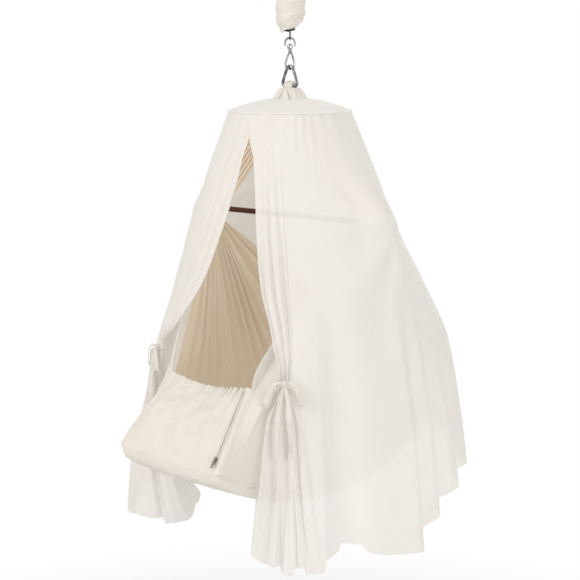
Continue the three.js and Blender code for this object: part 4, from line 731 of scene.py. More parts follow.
def hanging_line():
    """Plate, screws, eye, carabiner, spring, swivel, hook and link, each along the path that the frame gives."""
    ceiling_plate()
    for index in range(3):
        ceiling_screw(index)
    ring = bar_along(arc_xz(EYE_RING_Z, EYE_RING_R, 0, 352.5, 48), EYE_WIRE_R, (0, 1, 0), 24, True)
    stem = turned(eased([(0, -17.5), (4.4, -17.5), (5, -14.5), (5, -2.9), (4.4, -2.3), (0, -2.3)], 0.6), 40)
    make("ceiling_eye_bent", [ring, stem], STEEL, "ceiling_fitting", ["ceiling_eye"])

    path = np.vstack([
        point(0, CLIP_HALF, np.linspace(CLIP_GATE_HEAD + PIVOT_GAP, CLIP_TOP - CLIP_HALF, 3)[:-1]),
        arc_yz(CLIP_TOP - CLIP_HALF, CLIP_HALF, 0, 180, 25),
        arc_yz(CLIP_FOOT + CLIP_HALF, CLIP_HALF, 180, 360, 25),
        point(0, CLIP_HALF, np.linspace(CLIP_FOOT + CLIP_HALF, CLIP_GATE_FOOT - CLIP_GATE_R - PIVOT_GAP, 2)[1:]),
    ])
    make("top_carabiner_bent", bar_along(path, CLIP_R * 0.985, (1, 0, 0), 24), STEEL, "upper_carabiner",
         ["top_carabiner"])
    gate = point(0, CLIP_HALF, np.linspace(CLIP_GATE_FOOT - 1.2, CLIP_GATE_HEAD - 2.2, 9))
    pin = moved(rod(1.2, -3.9, 3.9, 0.3, 20), ALONG_X, (0, CLIP_HALF, CLIP_GATE_FOOT))
    make("carabiner_gate_turned", [bar_along(gate, CLIP_GATE_R, (1, 0, 0), 22), pin], STEEL, "upper_gate",
         ["carabiner_gate"])

    spring = suspension_spring()
    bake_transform(spring)

    deck = np.array([-1.8, -4.5, -4.5, -1.8])
    bow = np.vstack([
        arc_xz(BOW_TOP - BOW_HALF, BOW_HALF, 0, 180, 7),
        point([-BOW_HALF * 0.9, -SWIVEL_R * 0.5, SWIVEL_R * 0.5, BOW_HALF * 0.9], 0, SWIVEL_TOP + deck),
    ])
    path = even_path(bow, 72, True)
    high = path[:, 2] > SWIVEL_TOP - 1.0
    order = np.roll(np.arange(len(path)), -int(np.argmax(~high)))
    legs = bar_along(path[order][high[order]], BOW_R, (0, 1, 0), 20)
    plate = turned(eased([(SWIVEL_BORE, SWIVEL_FOOT), (SWIVEL_R, SWIVEL_FOOT), (SWIVEL_R, SWIVEL_TOP),
                          (SWIVEL_BORE, SWIVEL_TOP), (SWIVEL_BORE, SWIVEL_FOOT)], 0.9)[:-1], 48, True)
    make("swivel_bow_forged", placed((legs, plate), about_z(BOW_YAW)), STEEL, "swivel", ["swivel_bow"])

    body_foot = SWIVEL_FOOT - HOOK_LENGTH * 0.24
    rivet = SWIVEL_TOP + 0.3
    stem = turned(eased([
        (0, body_foot - 1), (HOOK_BODY_R * 0.9, body_foot - 1), (HOOK_BODY_R, SWIVEL_FOOT - 2.5),
        (3.9, SWIVEL_FOOT - 0.3), (3, SWIVEL_FOOT - 0.3), (3, rivet), (4.6, rivet), (4.6, rivet + 1.4),
        (2.8, rivet + 2.9), (0, rivet + 3)], 0.5), 40)
    path = np.vstack([
        [[1.5, 0, SWIVEL_FOOT - HOOK_LENGTH * 0.16], [HOOK_SHOULDER, 0, body_foot],
         [HOOK_HALF * 0.78, 0, SWIVEL_FOOT - HOOK_LENGTH * 0.5]],
        arc_xz(HOOK_FOOT + HOOK_HALF, HOOK_HALF, 360, 180, 9),
        [[-HOOK_HALF, 0, HOOK_FOOT + HOOK_HALF + HOOK_NOSE]],
    ])
    path = even_path(path, 60)
    radius = HOOK_R * (1 - 0.12 * smooth(shares(60), 0.85, 1))
    bend = bar_along(path, radius, (0, 1, 0), 22)
    make("snap_hook_forged", placed((stem, bend), about_z(HOOK_YAW)), STEEL, "hook", ["snap_hook"])

    pivot = np.array([-HOOK_SHOULDER, 0, body_foot - 2.4 - PIVOT_GAP])
    away = path[-1] - pivot
    reach = np.linalg.norm(away) - HOOK_R * 0.6
    gate = pivot + unit(away) * np.linspace(-0.9, reach - PIVOT_GAP - 1.2, 9)[:, None]
    pin = moved(rod(1, -3, 3, 0.3, 20), ALONG_Y, pivot)
    make("snap_gate_pressed", placed((bar_along(gate, 2.4, (0, 1, 0), 20), pin), about_z(HOOK_YAW)), STEEL,
         "hook_gate", ["snap_gate"])

    side = LINK_HALF - LINK_CORNER
    link = np.vstack([
        arc_xz(LINK_TOP - LINK_CROWN, LINK_CROWN, 10, 170, 6),
        arc_xz(LINK_FOOT + LINK_CORNER, LINK_CORNER, 180, 270, 5, -side),
        [[0, 0, LINK_FOOT]],
        arc_xz(LINK_FOOT + LINK_CORNER, LINK_CORNER, 270, 360, 5, side),
    ])
    wire = bar_along(even_path(link, 96, True), LINK_R, (0, 1, 0), 24, True)
    make("lower_link_bent", moved(wire, about_z(LINK_YAW)), LINK_STEEL, "link", ["lower_link"])


def suspension_spring():
    """One wire: an upper loop, a neck, fourteen turns, a neck and a lower loop, its corners evened out.

    The turns are open down to a share of their run, and the last ones lie close together.
    """
    upper, lower = SPRING_TOP - LOOP_R, SPRING_FOOT + LOOP_R
    coil_top = SPRING_TOP - 2 * LOOP_R - SPRING_NECK
    coil_foot = SPRING_FOOT + 2 * LOOP_R + SPRING_NECK * 0.1
    yaw = math.radians(SPRING_YAW)
    a = np.radians(np.linspace(-50, 235, 40))
    first = point(LOOP_R * np.cos(a), 0, upper + LOOP_R * np.sin(a))
    share = shares(SPRING_TURNS * 40 + 1)
    a = np.radians(mix(180, SPRING_TURNS * 360 + 180 + SPRING_YAW, share))
    closing = smooth(share, 0.74, 0.8)
    open_foot = coil_foot + CLOSED_RUN
    height = np.where(share < CLOSED_FROM, mix(coil_top, open_foot, share / CLOSED_FROM),
                      mix(open_foot, coil_foot, (share - CLOSED_FROM) / CLOSED_SHARE))
    coil = polar(COIL_R + 0.8 * closing, a, height)
    a = np.radians(np.linspace(125, 410, 40))
    side = LOOP_R * np.cos(a)
    last = point(side * math.cos(yaw), side * math.sin(yaw), lower + LOOP_R * np.sin(a))
    between = shares(8)[1:-1, None]
    rough = np.vstack([first, mix(first[-1], coil[0], between), coil, mix(coil[-1], last[0], between), last])
    padded = np.vstack([np.repeat(rough[:1], 3, 0), rough, np.repeat(rough[-1:], 3, 0)])
    weights = [0.06, 0.12, 0.2, 0.24, 0.2, 0.12, 0.06]
    path = np.stack([np.convolve(padded[:, k], weights, "valid") for k in range(3)], 1)
    count = len(path)
    index = np.arange(count)
    ease = smooth(index, 40, 50)[:, None]
    ease_last = smooth(index, count - 50, count - 40)[:, None]
    hint = mix(np.array([0, 1, 0]), np.array([0, 0, -1]), ease)
    hint = mix(hint, np.array([-math.sin(yaw), math.cos(yaw), 0]), ease_last)
    return make("suspension_spring_wound", bar_along(path, SPRING_R, hint, 14), DARK_STEEL, None,
                ["suspension_spring"])


def spring_sleeve():
    """A tube of cloth scrunched on the spring: bulging rings that lean and cross, its lower mouth cut on a slant."""
    s, a = grid(shares(200), full_turn(170))
    wander = 0.55 * np.sin(a + 0.7) + 0.4 * np.sin(2 * a - 5 * s) + 0.3 * ripples(a, 9 * s, 4)
    bulge = np.sqrt(np.abs(arch(6.5 * s + 0.33 * wander))) - 0.55
    small = (0.35 * np.sin(2 * math.pi * (13 * s + 0.6 * wander) + 2 * np.cos(a))
             + 0.5 * ripples(3 * np.cos(a), 26 * s + 3 * np.sin(a), 9))
    ends = smooth(s, 0, 0.035) * smooth(1 - s, 0, 0.07)
    body = mix(30, 37, smooth(arch(s), 0, 0.5)) * (1 + 0.03 * np.sin(a + 0.4))
    radius = mix(mix(15.5, 20.0, s), body - 3.0 + 4.6 * bulge + 1.9 * small, ends ** 0.6)
    slant = (1.0 + 9.0 * np.cos(a - math.radians(CAMERA_AZIMUTH)) + 2.0 * np.sin(3 * a)) * s**5
    middle = polar(radius, a, SLEEVE_TOP - SLEEVE_LENGTH * s + slant)
    sleeve = cloth("spring_sleeve_scrunched", middle, 1.6, CREAM,
                   ["spring_sleeve"], wrap=True, body=None)
    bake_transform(sleeve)


# ---------------------------------------------------------------- gathered cloth, bar and bands
GATHER_FOOT = -514.5
BAR_Z, BAR_HALF, BAR_R = -801.0, 300.0, 6.8
LOOP_IN, LOOP_OUT, LOOP_CLOTH_R = 232.0, 303.0, 17.0
SEAM_GAP, REST_GAP, CLOTH = 0.5, 0.3, 3.0


def top_gather():
    """Cloth bunched over the link's wire: a pleated ring round the wire, and a skirt whose pleats widen down."""
    x = shares(90, -10.5, 10.5)
    pleats = 14 - 1.5 * np.abs(np.sin(math.pi * x / 3.1)) - 1.6 * (x / 10.5) ** 4
    outside = np.stack([pleats, x], 1)
    ring = moved(turned(np.vstack([[4.6, -10.2], outside, [4.6, 10.2]]), 72, True), ALONG_X, (0, 0, LINK_FOOT))
    s, a = grid(shares(60), full_turn(420))
    fold = np.abs(np.sin(11 * a + 1.2 * np.sin(3 * a) + 0.7 * s)) ** 0.7 - 0.6 + 0.25 * np.sin(37 * a + 4 * s)
    groove = lambda place, width: bell((a - place + math.pi) % (2 * math.pi), math.pi, width)
    deep = (15.0 * groove(5.0 + 0.35 * s, 0.045) + 15.0 * groove(4.75 - 0.2 * s, 0.04)
            + 6.0 * groove(5.9, 0.06) + 6.0 * groove(3.9, 0.06))
    rise = 1.6 + 2.6 * s
    wide = s**0.34
    along = mix(14.0, 40.5, wide) + rise * fold - deep * smooth(s, 0.05, 0.5)
    across = mix(12.5, 40.5, wide) + rise * fold - deep * smooth(s, 0.05, 0.5)
    rings = point(along * np.cos(a), across * np.sin(a), mix(LINK_FOOT - 3, GATHER_FOOT, s))
    skirt = capped(rings, [[0, 0, LINK_FOOT - 3], [0, 0, GATHER_FOOT]], np.stack([30 * a, 36 * s], -1))
    make("top_gather_bunched", placed((ring, skirt), about_z(LINK_YAW)), CREAM, "basket",
         ["top_gather"])


def spreader_bar():
    """A round bar with eased ends."""
    bar = moved(rod(BAR_R, -BAR_HALF, BAR_HALF, 2.2, 48, 6), ALONG_X, (0, 0, BAR_Z))
    make("spreader_bar_turned", bar, WALNUT, "basket", ["spreader_bar"])


def bar_loop(side, word):
    """The cloth drawn tight round the bar's end, its gathers running round the bar."""
    x = shares(120, LOOP_IN, LOOP_OUT)
    s = shares(120)
    outer = LOOP_CLOTH_R - 1.9 * np.abs(np.sin(math.pi * 6 * s)) ** 0.8 - 1.5 * np.abs(2 * s - 1) ** 8
    rows = np.vstack([[BAR_R + SEAM_GAP, LOOP_IN], np.stack([outer, x], 1), [BAR_R + SEAM_GAP, LOOP_OUT]])
    ruck = lambda angle, row: 1 + 0.03 * np.sin(5 * angle + row * 0.35) + 0.02 * np.sin(11 * angle - row * 0.2)
    outward = ALONG_X if side > 0 else -ALONG_X @ np.diag([1, -1, 1])
    patch = moved(turned(rows, 96, True, ruck), outward, (0, 0, BAR_Z))
    make(f"bar_loop_{word}_gathered", patch, CREAM, "basket", [f"bar_loop_{word}"])


def pleat(phase, sharp=0.75):
    """A rounded fold line between -1 and 1: a cosine whose tops are made fuller."""
    wave = np.cos(phase)
    return np.sign(wave) * np.abs(wave) ** sharp


def draped(phase):
    """Rounded ridges that meet in narrow valleys, between -1 and 1: 2 |sin(phase / 2)|^0.8 - 1."""
    return 2 * np.abs(np.sin(phase / 2)) ** 0.8 - 1


def band(side, word):
    """A pleated band from under the gather out to the bar, its folds fading as they reach it."""
    down, across = grid(shares(110), shares(170))
    inner = mix(3.4, 204, down) - 12 * arch(down)
    outer = mix(34, 300, down)
    depth = mix(8.5, 2.6, down)
    y = -pleat(math.pi * 12 * across) * depth * 0.9 + 0.8 * ripples(9 * across, 7 * down, 21)
    height = mix(GATHER_FOOT - SEAM_GAP, BAR_Z + LOOP_CLOTH_R + REST_GAP, down)
    middle = point(side * mix(inner, outer, across), y, height)
    cloth(f"band_{word}_pleated", middle, 1.8, TAN,
          [f"band_{word}"])


# ---------------------------------------------------------------- basket
HALF_W, HALF_L, FLOOR_Z, FLOOR_RISE = 155.0, 440.0, -1458.0, 120.0
TRAY_DEPTH, TRAY_WALL, CORNER_R = 34.0, 2.5, 24.0
WALL_TOP_X, WALL_TOP_Y, WALL_TOP_Z, WALL_END = 267.5, 14.0, -818.3, 434.0
WALL_LAP, POUCH_LAP = 1.012, 1.045
POUCH_TOP_Y, POUCH_TOP_Z, POUCH_TOP_W = -297.0, -1172.0, 128.0
HEAD_TOP_Y, HEAD_TOP_Z, HEAD_TOP_W = 400.0, -1130.0, 138.0
CORNER_GAP = CLOTH / 2 + 2 * SEAM_GAP


def floor_at(y):
    """The floor's height: its middle plus a rise that grows with the square of the way to an end."""
    return FLOOR_Z + FLOOR_RISE * (np.asarray(y, float) / HALF_L) ** 2


FOOT_Z = float(floor_at(HALF_L)) + SEAM_GAP
WALL_FOOT_Z = float(floor_at(WALL_END)) + SEAM_GAP


def pouch_width(down):
    """Half the pouch's width, from its elastic edge down to the tray."""
    return mix(POUCH_TOP_W, HALF_W - CLOTH, smooth(down, 0, 1))


def head_width(down):
    """Half the head panel's width, from its top edge down to the tray."""
    return mix(HEAD_TOP_W, HALF_W - CLOTH, down)


FRONT_EDGE = np.array([
    [WALL_TOP_X, -WALL_TOP_Y, WALL_TOP_Z],
    [WALL_TOP_X * 0.76, -HALF_L * 0.27, mix(WALL_TOP_Z, POUCH_TOP_Z, 0.38)],
    [WALL_TOP_X * 0.573, -HALF_L * 0.495, mix(WALL_TOP_Z, POUCH_TOP_Z, 0.72)],
    [POUCH_TOP_W + CORNER_GAP, POUCH_TOP_Y, POUCH_TOP_Z],
    [float(pouch_width(0.5)) + CORNER_GAP, (POUCH_TOP_Y - WALL_END) / 2, (POUCH_TOP_Z + WALL_FOOT_Z) / 2],
    [HALF_W, -WALL_END, WALL_FOOT_Z],
])
POUCH_NORMAL = unit([0, FOOT_Z - POUCH_TOP_Z, POUCH_TOP_Y + HALF_L])
POUCH_ROLL, POUCH_HANG, POUCH_SAG, POUCH_BELLY = 13.0, 5.0, 15, 18
FRONT_EDGE[3:] -= POUCH_NORMAL * 9
BACK_EDGE = np.array([
    [WALL_TOP_X, WALL_TOP_Y, WALL_TOP_Z],
    [WALL_TOP_X * 0.8, HEAD_TOP_Y * 0.45, mix(WALL_TOP_Z, HEAD_TOP_Z, 0.42)],
    [HEAD_TOP_W + CORNER_GAP, HEAD_TOP_Y, HEAD_TOP_Z],
    [float(head_width(0.5)) + 2 * CORNER_GAP, (HEAD_TOP_Y + WALL_END) / 2, (HEAD_TOP_Z + WALL_FOOT_Z) / 2],
    [HALF_W, WALL_END, WALL_FOOT_Z],
])


def wall_surface(along, down):
    """The right-hand wall before its pleats.

    Straight lines run from the bar loop to the base's edge, drawn to the front and back edge curves near its ends.
    """
    y = mix(-WALL_END, WALL_END, along)
    top = point(WALL_TOP_X, mix(-WALL_TOP_Y, WALL_TOP_Y, along), WALL_TOP_Z)
    foot = point(HALF_W, y, floor_at(y) + SEAM_GAP)
    surface = mix(top, foot, down[..., None])
    for edge, reach in ((FRONT_EDGE, along), (BACK_EDGE, 1 - along)):
        pull = np.maximum(0, 1 - reach / 0.22)[..., None] ** 2
        surface = mix(surface, spline(edge, down), pull)
    return surface


def side_wall(side, word, seed):
    """A fan of pleats from the bar loop to the base: folds in X that fade at the foot and at both edges."""
    down, along = grid(np.append(shares(108), shares(5, 1, WALL_LAP)[1:]), shares(330))
    surface = wall_surface(along, np.minimum(down, 1))
    lap = smooth(down, 1, WALL_LAP)
    surface += point(2.6 * lap, 0, -7 * lap)
    wander = 0.22 * ripples(7 * along, 2.2 * down, seed)
    phase = math.pi * 30 * along + 3.2 * wander
    rng = np.random.default_rng(seed)
    size = np.interp(along * 20, np.arange(21), rng.uniform(0.35, 1.5, 21))
    growth = arch(np.minimum(down + 0.12, 1)) * (1 - smooth(down, 0.9, 1))
    edge = smooth(along, 0, 0.025) * smooth(1 - along, 0, 0.025)
    fold = -draped(phase) * 12.0 * size + 1.2 * np.sin(2.1 * phase + 4 * wander)
    soft = 2.5 * ripples(5 * along, 4 * down, seed + 1) * arch(down)
    surface[..., 0] += fold * growth * edge + soft * edge
    surface[..., 0] *= side
    cloth(f"side_wall_{word}_pleated", pushed_corner(surface), 1.7, [TAN, CREAM] if side > 0 else [CREAM, TAN],
          [f"side_wall_{word}"], lining=True)


def wall_border(side, word):
    """A plain doubled strip along the wall's front edge, widening from the bar down."""
    down, across = grid(shares(160), shares(18))
    line = spline(FRONT_EDGE, mix(0.02, 0.625, down))
    width = 21 * smooth(down, -0.3, 0.3) * (1 - 0.3 * smooth(down, 0.8, 1))
    tuck = smooth(down, 0.78, 1)[..., None]
    in_pouch = np.array([0, -POUCH_NORMAL[2], POUCH_NORMAL[1]])
    forward = unit(mix(np.array([0, -1, 0.3]), in_pouch, tuck))
    middle = line + forward * (2.2 + width * across)[..., None] - POUCH_NORMAL * 5.0 * tuck
    middle[..., 0] += 1.2 * arch(across) + 0.6 * ripples(2 * across, 14 * down, 31)
    middle[..., 0] *= side
    thick = 2.0 + 1.2 * smooth(np.abs(across - 0.5), 0.36, 0.44)
    cloth(f"wall_border_{word}_sewn", middle, thick, CREAM,
          [f"wall_border_{word}"])


def pouch_flat(x, across, down):
    """The pouch's plane at a distance x from its middle, sagging towards the elastic edge."""
    sag = POUCH_SAG * (1 - down) ** 2 * arch(across)
    return point(x, mix(POUCH_TOP_Y, -HALF_L, down), mix(POUCH_TOP_Z, FOOT_Z, down) - sag)


def pouch_surface(across, down):
    """The pouch before its ruffles: a taper from the elastic edge to the front seam that bulges in the middle."""
    half = pouch_width(down)
    edge = smooth(np.minimum(across, 1 - across), 0.085, 0.255)
    belly = POUCH_BELLY * arch(down) * edge
    return pouch_flat(mix(-half, half, across), across, down) + POUCH_NORMAL * belly[..., None]


def pushed_corner(points):
    """Cloth by the left front corner stands out and up, as the pad in it pushes: a bell-shaped shift."""
    away = (points[..., 0] + HALF_W) ** 2 + (points[..., 1] + HALF_L) ** 2
    return points + np.array([-9.0, 0, 15.0]) * np.exp(-away / (2 * 85.0**2))[..., None]


def foot_pouch():
    """The pouch's cover: flat in the middle, and rolled down over the walls' edges in quarter circles.

    It is ruched along its elastic edge, with drag lines that fade down, soft dimples and a crease, and its foot
    turns down over the tray. The rows by that turn are averaged with their neighbours, which rounds it.
    """
    down, place = grid(np.append(shares(104), shares(17, 1, POUCH_LAP)[1:]), shares(320, -1, 1))
    on = np.minimum(down, 1)
    half = pouch_width(on) + CORNER_GAP + 1.5
    arc = POUCH_ROLL * math.pi / 2
    run = np.abs(place) * (half - POUCH_ROLL + arc + POUCH_HANG)
    beyond = np.maximum(run - (half - POUCH_ROLL), 0)
    bend = np.minimum(beyond / POUCH_ROLL, math.pi / 2)
    x = np.sign(place) * (np.minimum(run, half - POUCH_ROLL) + POUCH_ROLL * np.sin(bend))
    fall = POUCH_ROLL * (1 - np.cos(bend)) + np.maximum(beyond - arc, 0)
    across = np.clip(x / pouch_width(on) / 2 + 0.5, 0, 1)
    belly = smooth(across, 0.03, 0.2) * smooth(1 - across, 0.085, 0.255)

    phase = 2 * math.pi * (15 * across + 0.4 * np.sin(9 * across) + 0.35 * ripples(4 * across, 2 * on, 41))
    near = smooth(np.minimum(across, 1 - across), 0.0, 0.1)
    gather = pleat(phase, 1.1) * np.exp(-on * 6.5) * (0.75 + 0.9 * smooth(across, 0.6, 0.85))
    drag = np.sin(2 * math.pi * 6.3 * across + 1.8 * on + 0.6) * np.exp(-on * 2.4)
    dimples = ripples(5 * across, 5 * on, 42) + 0.8 * ripples(10 * across, 8 * on, 43)
    line = on - 0.62 - 0.05 * np.sin(5 * across) - 0.06 * across
    crease = bell(line, 0, 0.03) * smooth(arch(across), 0.2, 0.9)
    casing = bell(on, 0.085, 0.008)
    middle_belly = (POUCH_BELLY * arch(on) + 5 * arch(on) ** 4) * belly
    lift = near * (3.4 * gather + 2.2 * drag + 4.6 * dimples * arch(on) - 2.4 * crease - 0.9 * casing)
    lap = (down - 1) / (POUCH_LAP - 1) * (down > 1)
    out = unit(mix(POUCH_NORMAL, np.array([0, -1.0, 0]), lap[..., None]))
    stands = middle_belly + lift * (1 - lap) - fall + 0.8
    surface = pouch_flat(x, across, on) + out * stands[..., None] + point(0, -2.4 * smooth(lap, 0, 0.6), -9.0 * lap)
    turn_rows = bell(down, 1, 0.02)[1:-1, :, None]
    for _ in range(30):
        surface[1:-1] = mix(surface[1:-1], (surface[:-2] + surface[2:]) / 2, turn_rows * 0.8)
    cloth("foot_pouch_ruched", pushed_corner(surface), 1.8, CREAM,
          ["foot_pouch"])


def head_panel():
    """The higher end: a plain panel with a soft belly and a turned top edge."""
    down, across = grid(shares(80), shares(150))
    half = head_width(down)
    sag = 8 * arch(across) * (1 - down)
    along, height = mix(HEAD_TOP_Y, HALF_L - CLOTH, down), mix(HEAD_TOP_Z, FOOT_Z, down) - sag
    surface = point(mix(-half, half, across), along, height)
    surface[..., 1] += 1.5 * ripples(5 * across, 4 * down, 51) * arch(across) * arch(down)
    thick = 2.2 + 1.0 * (1 - smooth(down, 0.06, 0.09))
    cloth("head_panel_sewn", surface, thick, CREAM, ["head_panel"])


def footprint(columns):
    """A rounded oblong read at evenly spaced points: four quarter circles joined by straight sides."""
    steps = 19
    turns = np.radians(np.concatenate([np.linspace(first, first + 90, steps) for first in (0, 90, 180, 270)]))
    x = np.repeat([1, -1, -1, 1], steps) * (HALF_W - CORNER_R) + CORNER_R * np.cos(turns)
    y = np.repeat([1, 1, -1, -1], steps) * (HALF_L - CORNER_R) + CORNER_R * np.sin(turns)
    x, y = np.append(x, x[0]), np.append(y, y[0])
    run = np.concatenate([[0], np.cumsum(np.hypot(np.diff(x), np.diff(y)))])
    want = np.linspace(0, run[-1], columns, endpoint=False)
    return np.interp(want, run, x), np.interp(want, run, y)


def pan(profile, columns, wrinkle, seed):
    """A body over the rounded oblong.

    Its rows are (share of the half width, share of the half length, height above the floor's curve).
    """
    profile = np.asarray(profile, float)
    x, y = footprint(columns)
    rows = profile[1:-1]
    px, py = rows[:, :1] * x, rows[:, 1:2] * y
    pz = floor_at(py) + rows[:, 2:3]
    pz = pz + wrinkle * ripples(px / 60, py / 60, seed) * np.minimum(rows[:, :1] * 1.2, 1)
    ends = [[0, 0, float(floor_at(0)) + profile[end, 2]] for end in (0, -1)]
    patch = capped(point(px, py, pz), ends, np.stack([px, py], -1))
    return pushed_corner(patch[0]), *patch[1:]


def flat_rows(low, high, count, height, sag=0.0):
    """Rows of a flat run between two shares of the footprint, sinking by a sag towards its middle."""
    share = np.linspace(low, high, count)
    return np.stack([share, share, height - sag * (1 - share**2)], 1)


def base_tray():
    """The cloth tray: an underside that sags a little, soft outer edges, and an inner wall and floor."""
    inner_w, inner_l = (HALF_W - TRAY_WALL) / HALF_W, (HALF_L - TRAY_WALL) / HALF_L
    rows = np.vstack([
        flat_rows(0, 0.965, 26, -TRAY_DEPTH, 3.0),
        [[0.982, 0.993, -TRAY_DEPTH + 1.6], [0.999, 0.9995, -TRAY_DEPTH + 5.5], [1.010, 1.0035, -TRAY_DEPTH * 0.72],
         [1.016, 1.0055, -TRAY_DEPTH * 0.5], [1.010, 1.0035, -TRAY_DEPTH * 0.28], [1, 1, -3.5],
         [0.997, 0.9988, -0.6], [0.990, 0.9965, 0], [inner_w, inner_l, -1.5], [inner_w, inner_l, -TRAY_DEPTH * 0.5],
         [inner_w - 0.01, inner_l - 0.004, -TRAY_DEPTH + TRAY_WALL]],
        flat_rows(0.95, 0, 18, -TRAY_DEPTH + TRAY_WALL),
    ])
    make("base_tray_sewn", pan(rows, 440, 0.5, 61), CREAM, "basket", ["base_tray"])


def mattress():
    """A pad laid in the tray: flat below, crowned above, its edge rolled and its faces faintly dented."""
    low = -TRAY_DEPTH + TRAY_WALL + REST_GAP
    w, l = (HALF_W - TRAY_WALL - 1.5) / HALF_W, (HALF_L - TRAY_WALL - 1.5) / HALF_L
    top_w, top_l = np.linspace(w - 0.07, 0, 20), np.linspace(l - 0.03, 0, 20)
    rows = np.vstack([
        flat_rows(0, w - 0.05, 18, low),
        [[w - 0.02, l - 0.008, low + 1.2], [w - 0.004, l - 0.002, low + 6], [w, l, low + 12],
         [w - 0.004, l - 0.002, low + 18], [w - 0.03, l - 0.012, low + 22.4]],
        np.stack([top_w, top_l, low + 24 + 5 * (1 - top_w**2)], 1),
    ])
    pad = make("mattress_padded", pan(rows, 300, 0.7, 71), COVER, "basket", ["mattress"])


TAPE_SIDE, TAPE_ENDS = 0.955, (0.03, 0.94)
SLIDER_AT, SLIDER_FOOT = 14, 1.3


def zipper():
    """A woven tape with two rows of teeth, a slider and a hanging pull, in the pouch's own plane."""
    top, foot = pouch_surface(np.full(2, TAPE_SIDE), np.array(TAPE_ENDS)) + POUCH_NORMAL * 3.4
    along = unit(top - foot)
    out = unit(POUCH_NORMAL - along * (POUCH_NORMAL @ along))
    basis = np.stack([np.cross(along, out), along, out], 1)
    length = float(np.linalg.norm(top - foot))
    down, wide = grid(shares(90, 0, length), shares(15, -6, 6))
    tape = shell(point(wide, down, 0.25 * np.cos(math.pi * wide / 2.4) + 0.3 * np.sin(down / 11)), 1.1)
    make("zipper_tape_woven", moved(tape, basis, foot), TAPE, "basket", ["zipper_tape"])
    teeth = [box_rows(point(side * 1.1, np.arange(2 + side, length - 2, 2.4), 0.75), (1.4, 1.0, 0.9))
             for side in (-1, 1)]
    make("zipper_teeth", placed(teeth, basis, foot), TEETH_METAL, "basket")
    low = SLIDER_FOOT
    s = shares(14, -1, 1)
    sides = 4.0 * (1 - 0.35 * smooth(s, -0.1, 1) - 0.12 * smooth(-s, 0.4, 1))
    along = s * 5.5 + SLIDER_AT
    body = [plate_of(along, sides, low, low + 1.0), plate_of(along, sides * 0.96, low + 2.5, low + 3.5),
            box_rows(point(0, 16.5, low + 1.7), (1.8, 3.0, 1.8)),
            box_rows(point(0, SLIDER_AT, low + 3.4), (1.3, 7.0, 0.5))]
    make("zip_slider_cast", placed(body, basis, foot), ZIP_METAL, "slider", ["zip_slider"])
    s, a = shares(24), full_turn(24)
    z = low + 3.6 + 0.3 + 0.8
    width = 1.6 + 1.4 * smooth(s, 0.0, 0.25) - 1.0 * smooth(s, 0.88, 1.0)
    pull = plate_of(SLIDER_AT - 24 * s, width, z - 0.8, z + 0.8)
    ring = bar_along(point(2.0 * np.cos(a), 12.4 + 2.0 * np.sin(a), z), 0.7, (0, 0, 1), 12, True)
    make("zip_pull_cast", placed((pull, ring), basis, foot), ZIP_METAL, "pull", ["zip_pull"])


def box_rows(centres, size):
    """Small closed blocks of one size at many places."""
    centres = np.atleast_2d(centres)
    corner = np.array([[x, y, z] for x in (-0.5, 0.5) for y in (-0.5, 0.5) for z in (-0.5, 0.5)]) * size
    quads = np.array([[0, 1, 3, 2], [4, 6, 7, 5], [0, 4, 5, 1], [2, 3, 7, 6], [0, 2, 6, 4], [1, 5, 7, 3]])
    points = (centres[:, None] + corner).reshape(-1, 3)
    faces = (quads[None] + 8 * np.arange(len(centres))[:, None, None]).reshape(-1, 4)
    return points, facing_out(points, [faces]), points[:, :2], None


def plate_of(along, half_width, low, high):
    """A thin plate in the pouch's plane: an outline given by half widths along it, with eased edges."""
    ring_x = np.array([-1, -0.8, 0.8, 1, 1, 0.8, -0.8, -1])
    ring_z = np.array([0.25, 0, 0, 0.25, 0.75, 1, 1, 0.75])
    rings = point(half_width[:, None] * ring_x, along[:, None], mix(low, high, ring_z)[None])
    return capped(rings, [[0, along[end], (low + high) / 2] for end in (0, -1)])


# ---------------------------------------------------------------- canopy
RIM_R, RIM_Z, CAP_HOLE_R, CAP_RISE, CAP_THICK = 151.8, -541.0, 43.1, 28.1, 1.6
PIPING_RING_R, HOOP_R = 152.9, 2.5
SKIRT_R, SKIRT_Z = 150.4, -543.1
CANOPY_W, CANOPY_L, CANOPY_DROP = 490.0, 490.0, 799.0
SEAM, BACK_SEAM = 75.0, 130.0
LEVELS = np.array([*(mix(RIM_Z, BAR_Z, s) for s in (0, 0.42, 1)),
                   *(BAR_Z - CANOPY_DROP * s for s in (0.19, 0.4, 0.62, 0.81, 1))])
OVER_BAR = (LOOP_OUT + 15 - SKIRT_R) / (CANOPY_W - SKIRT_R)
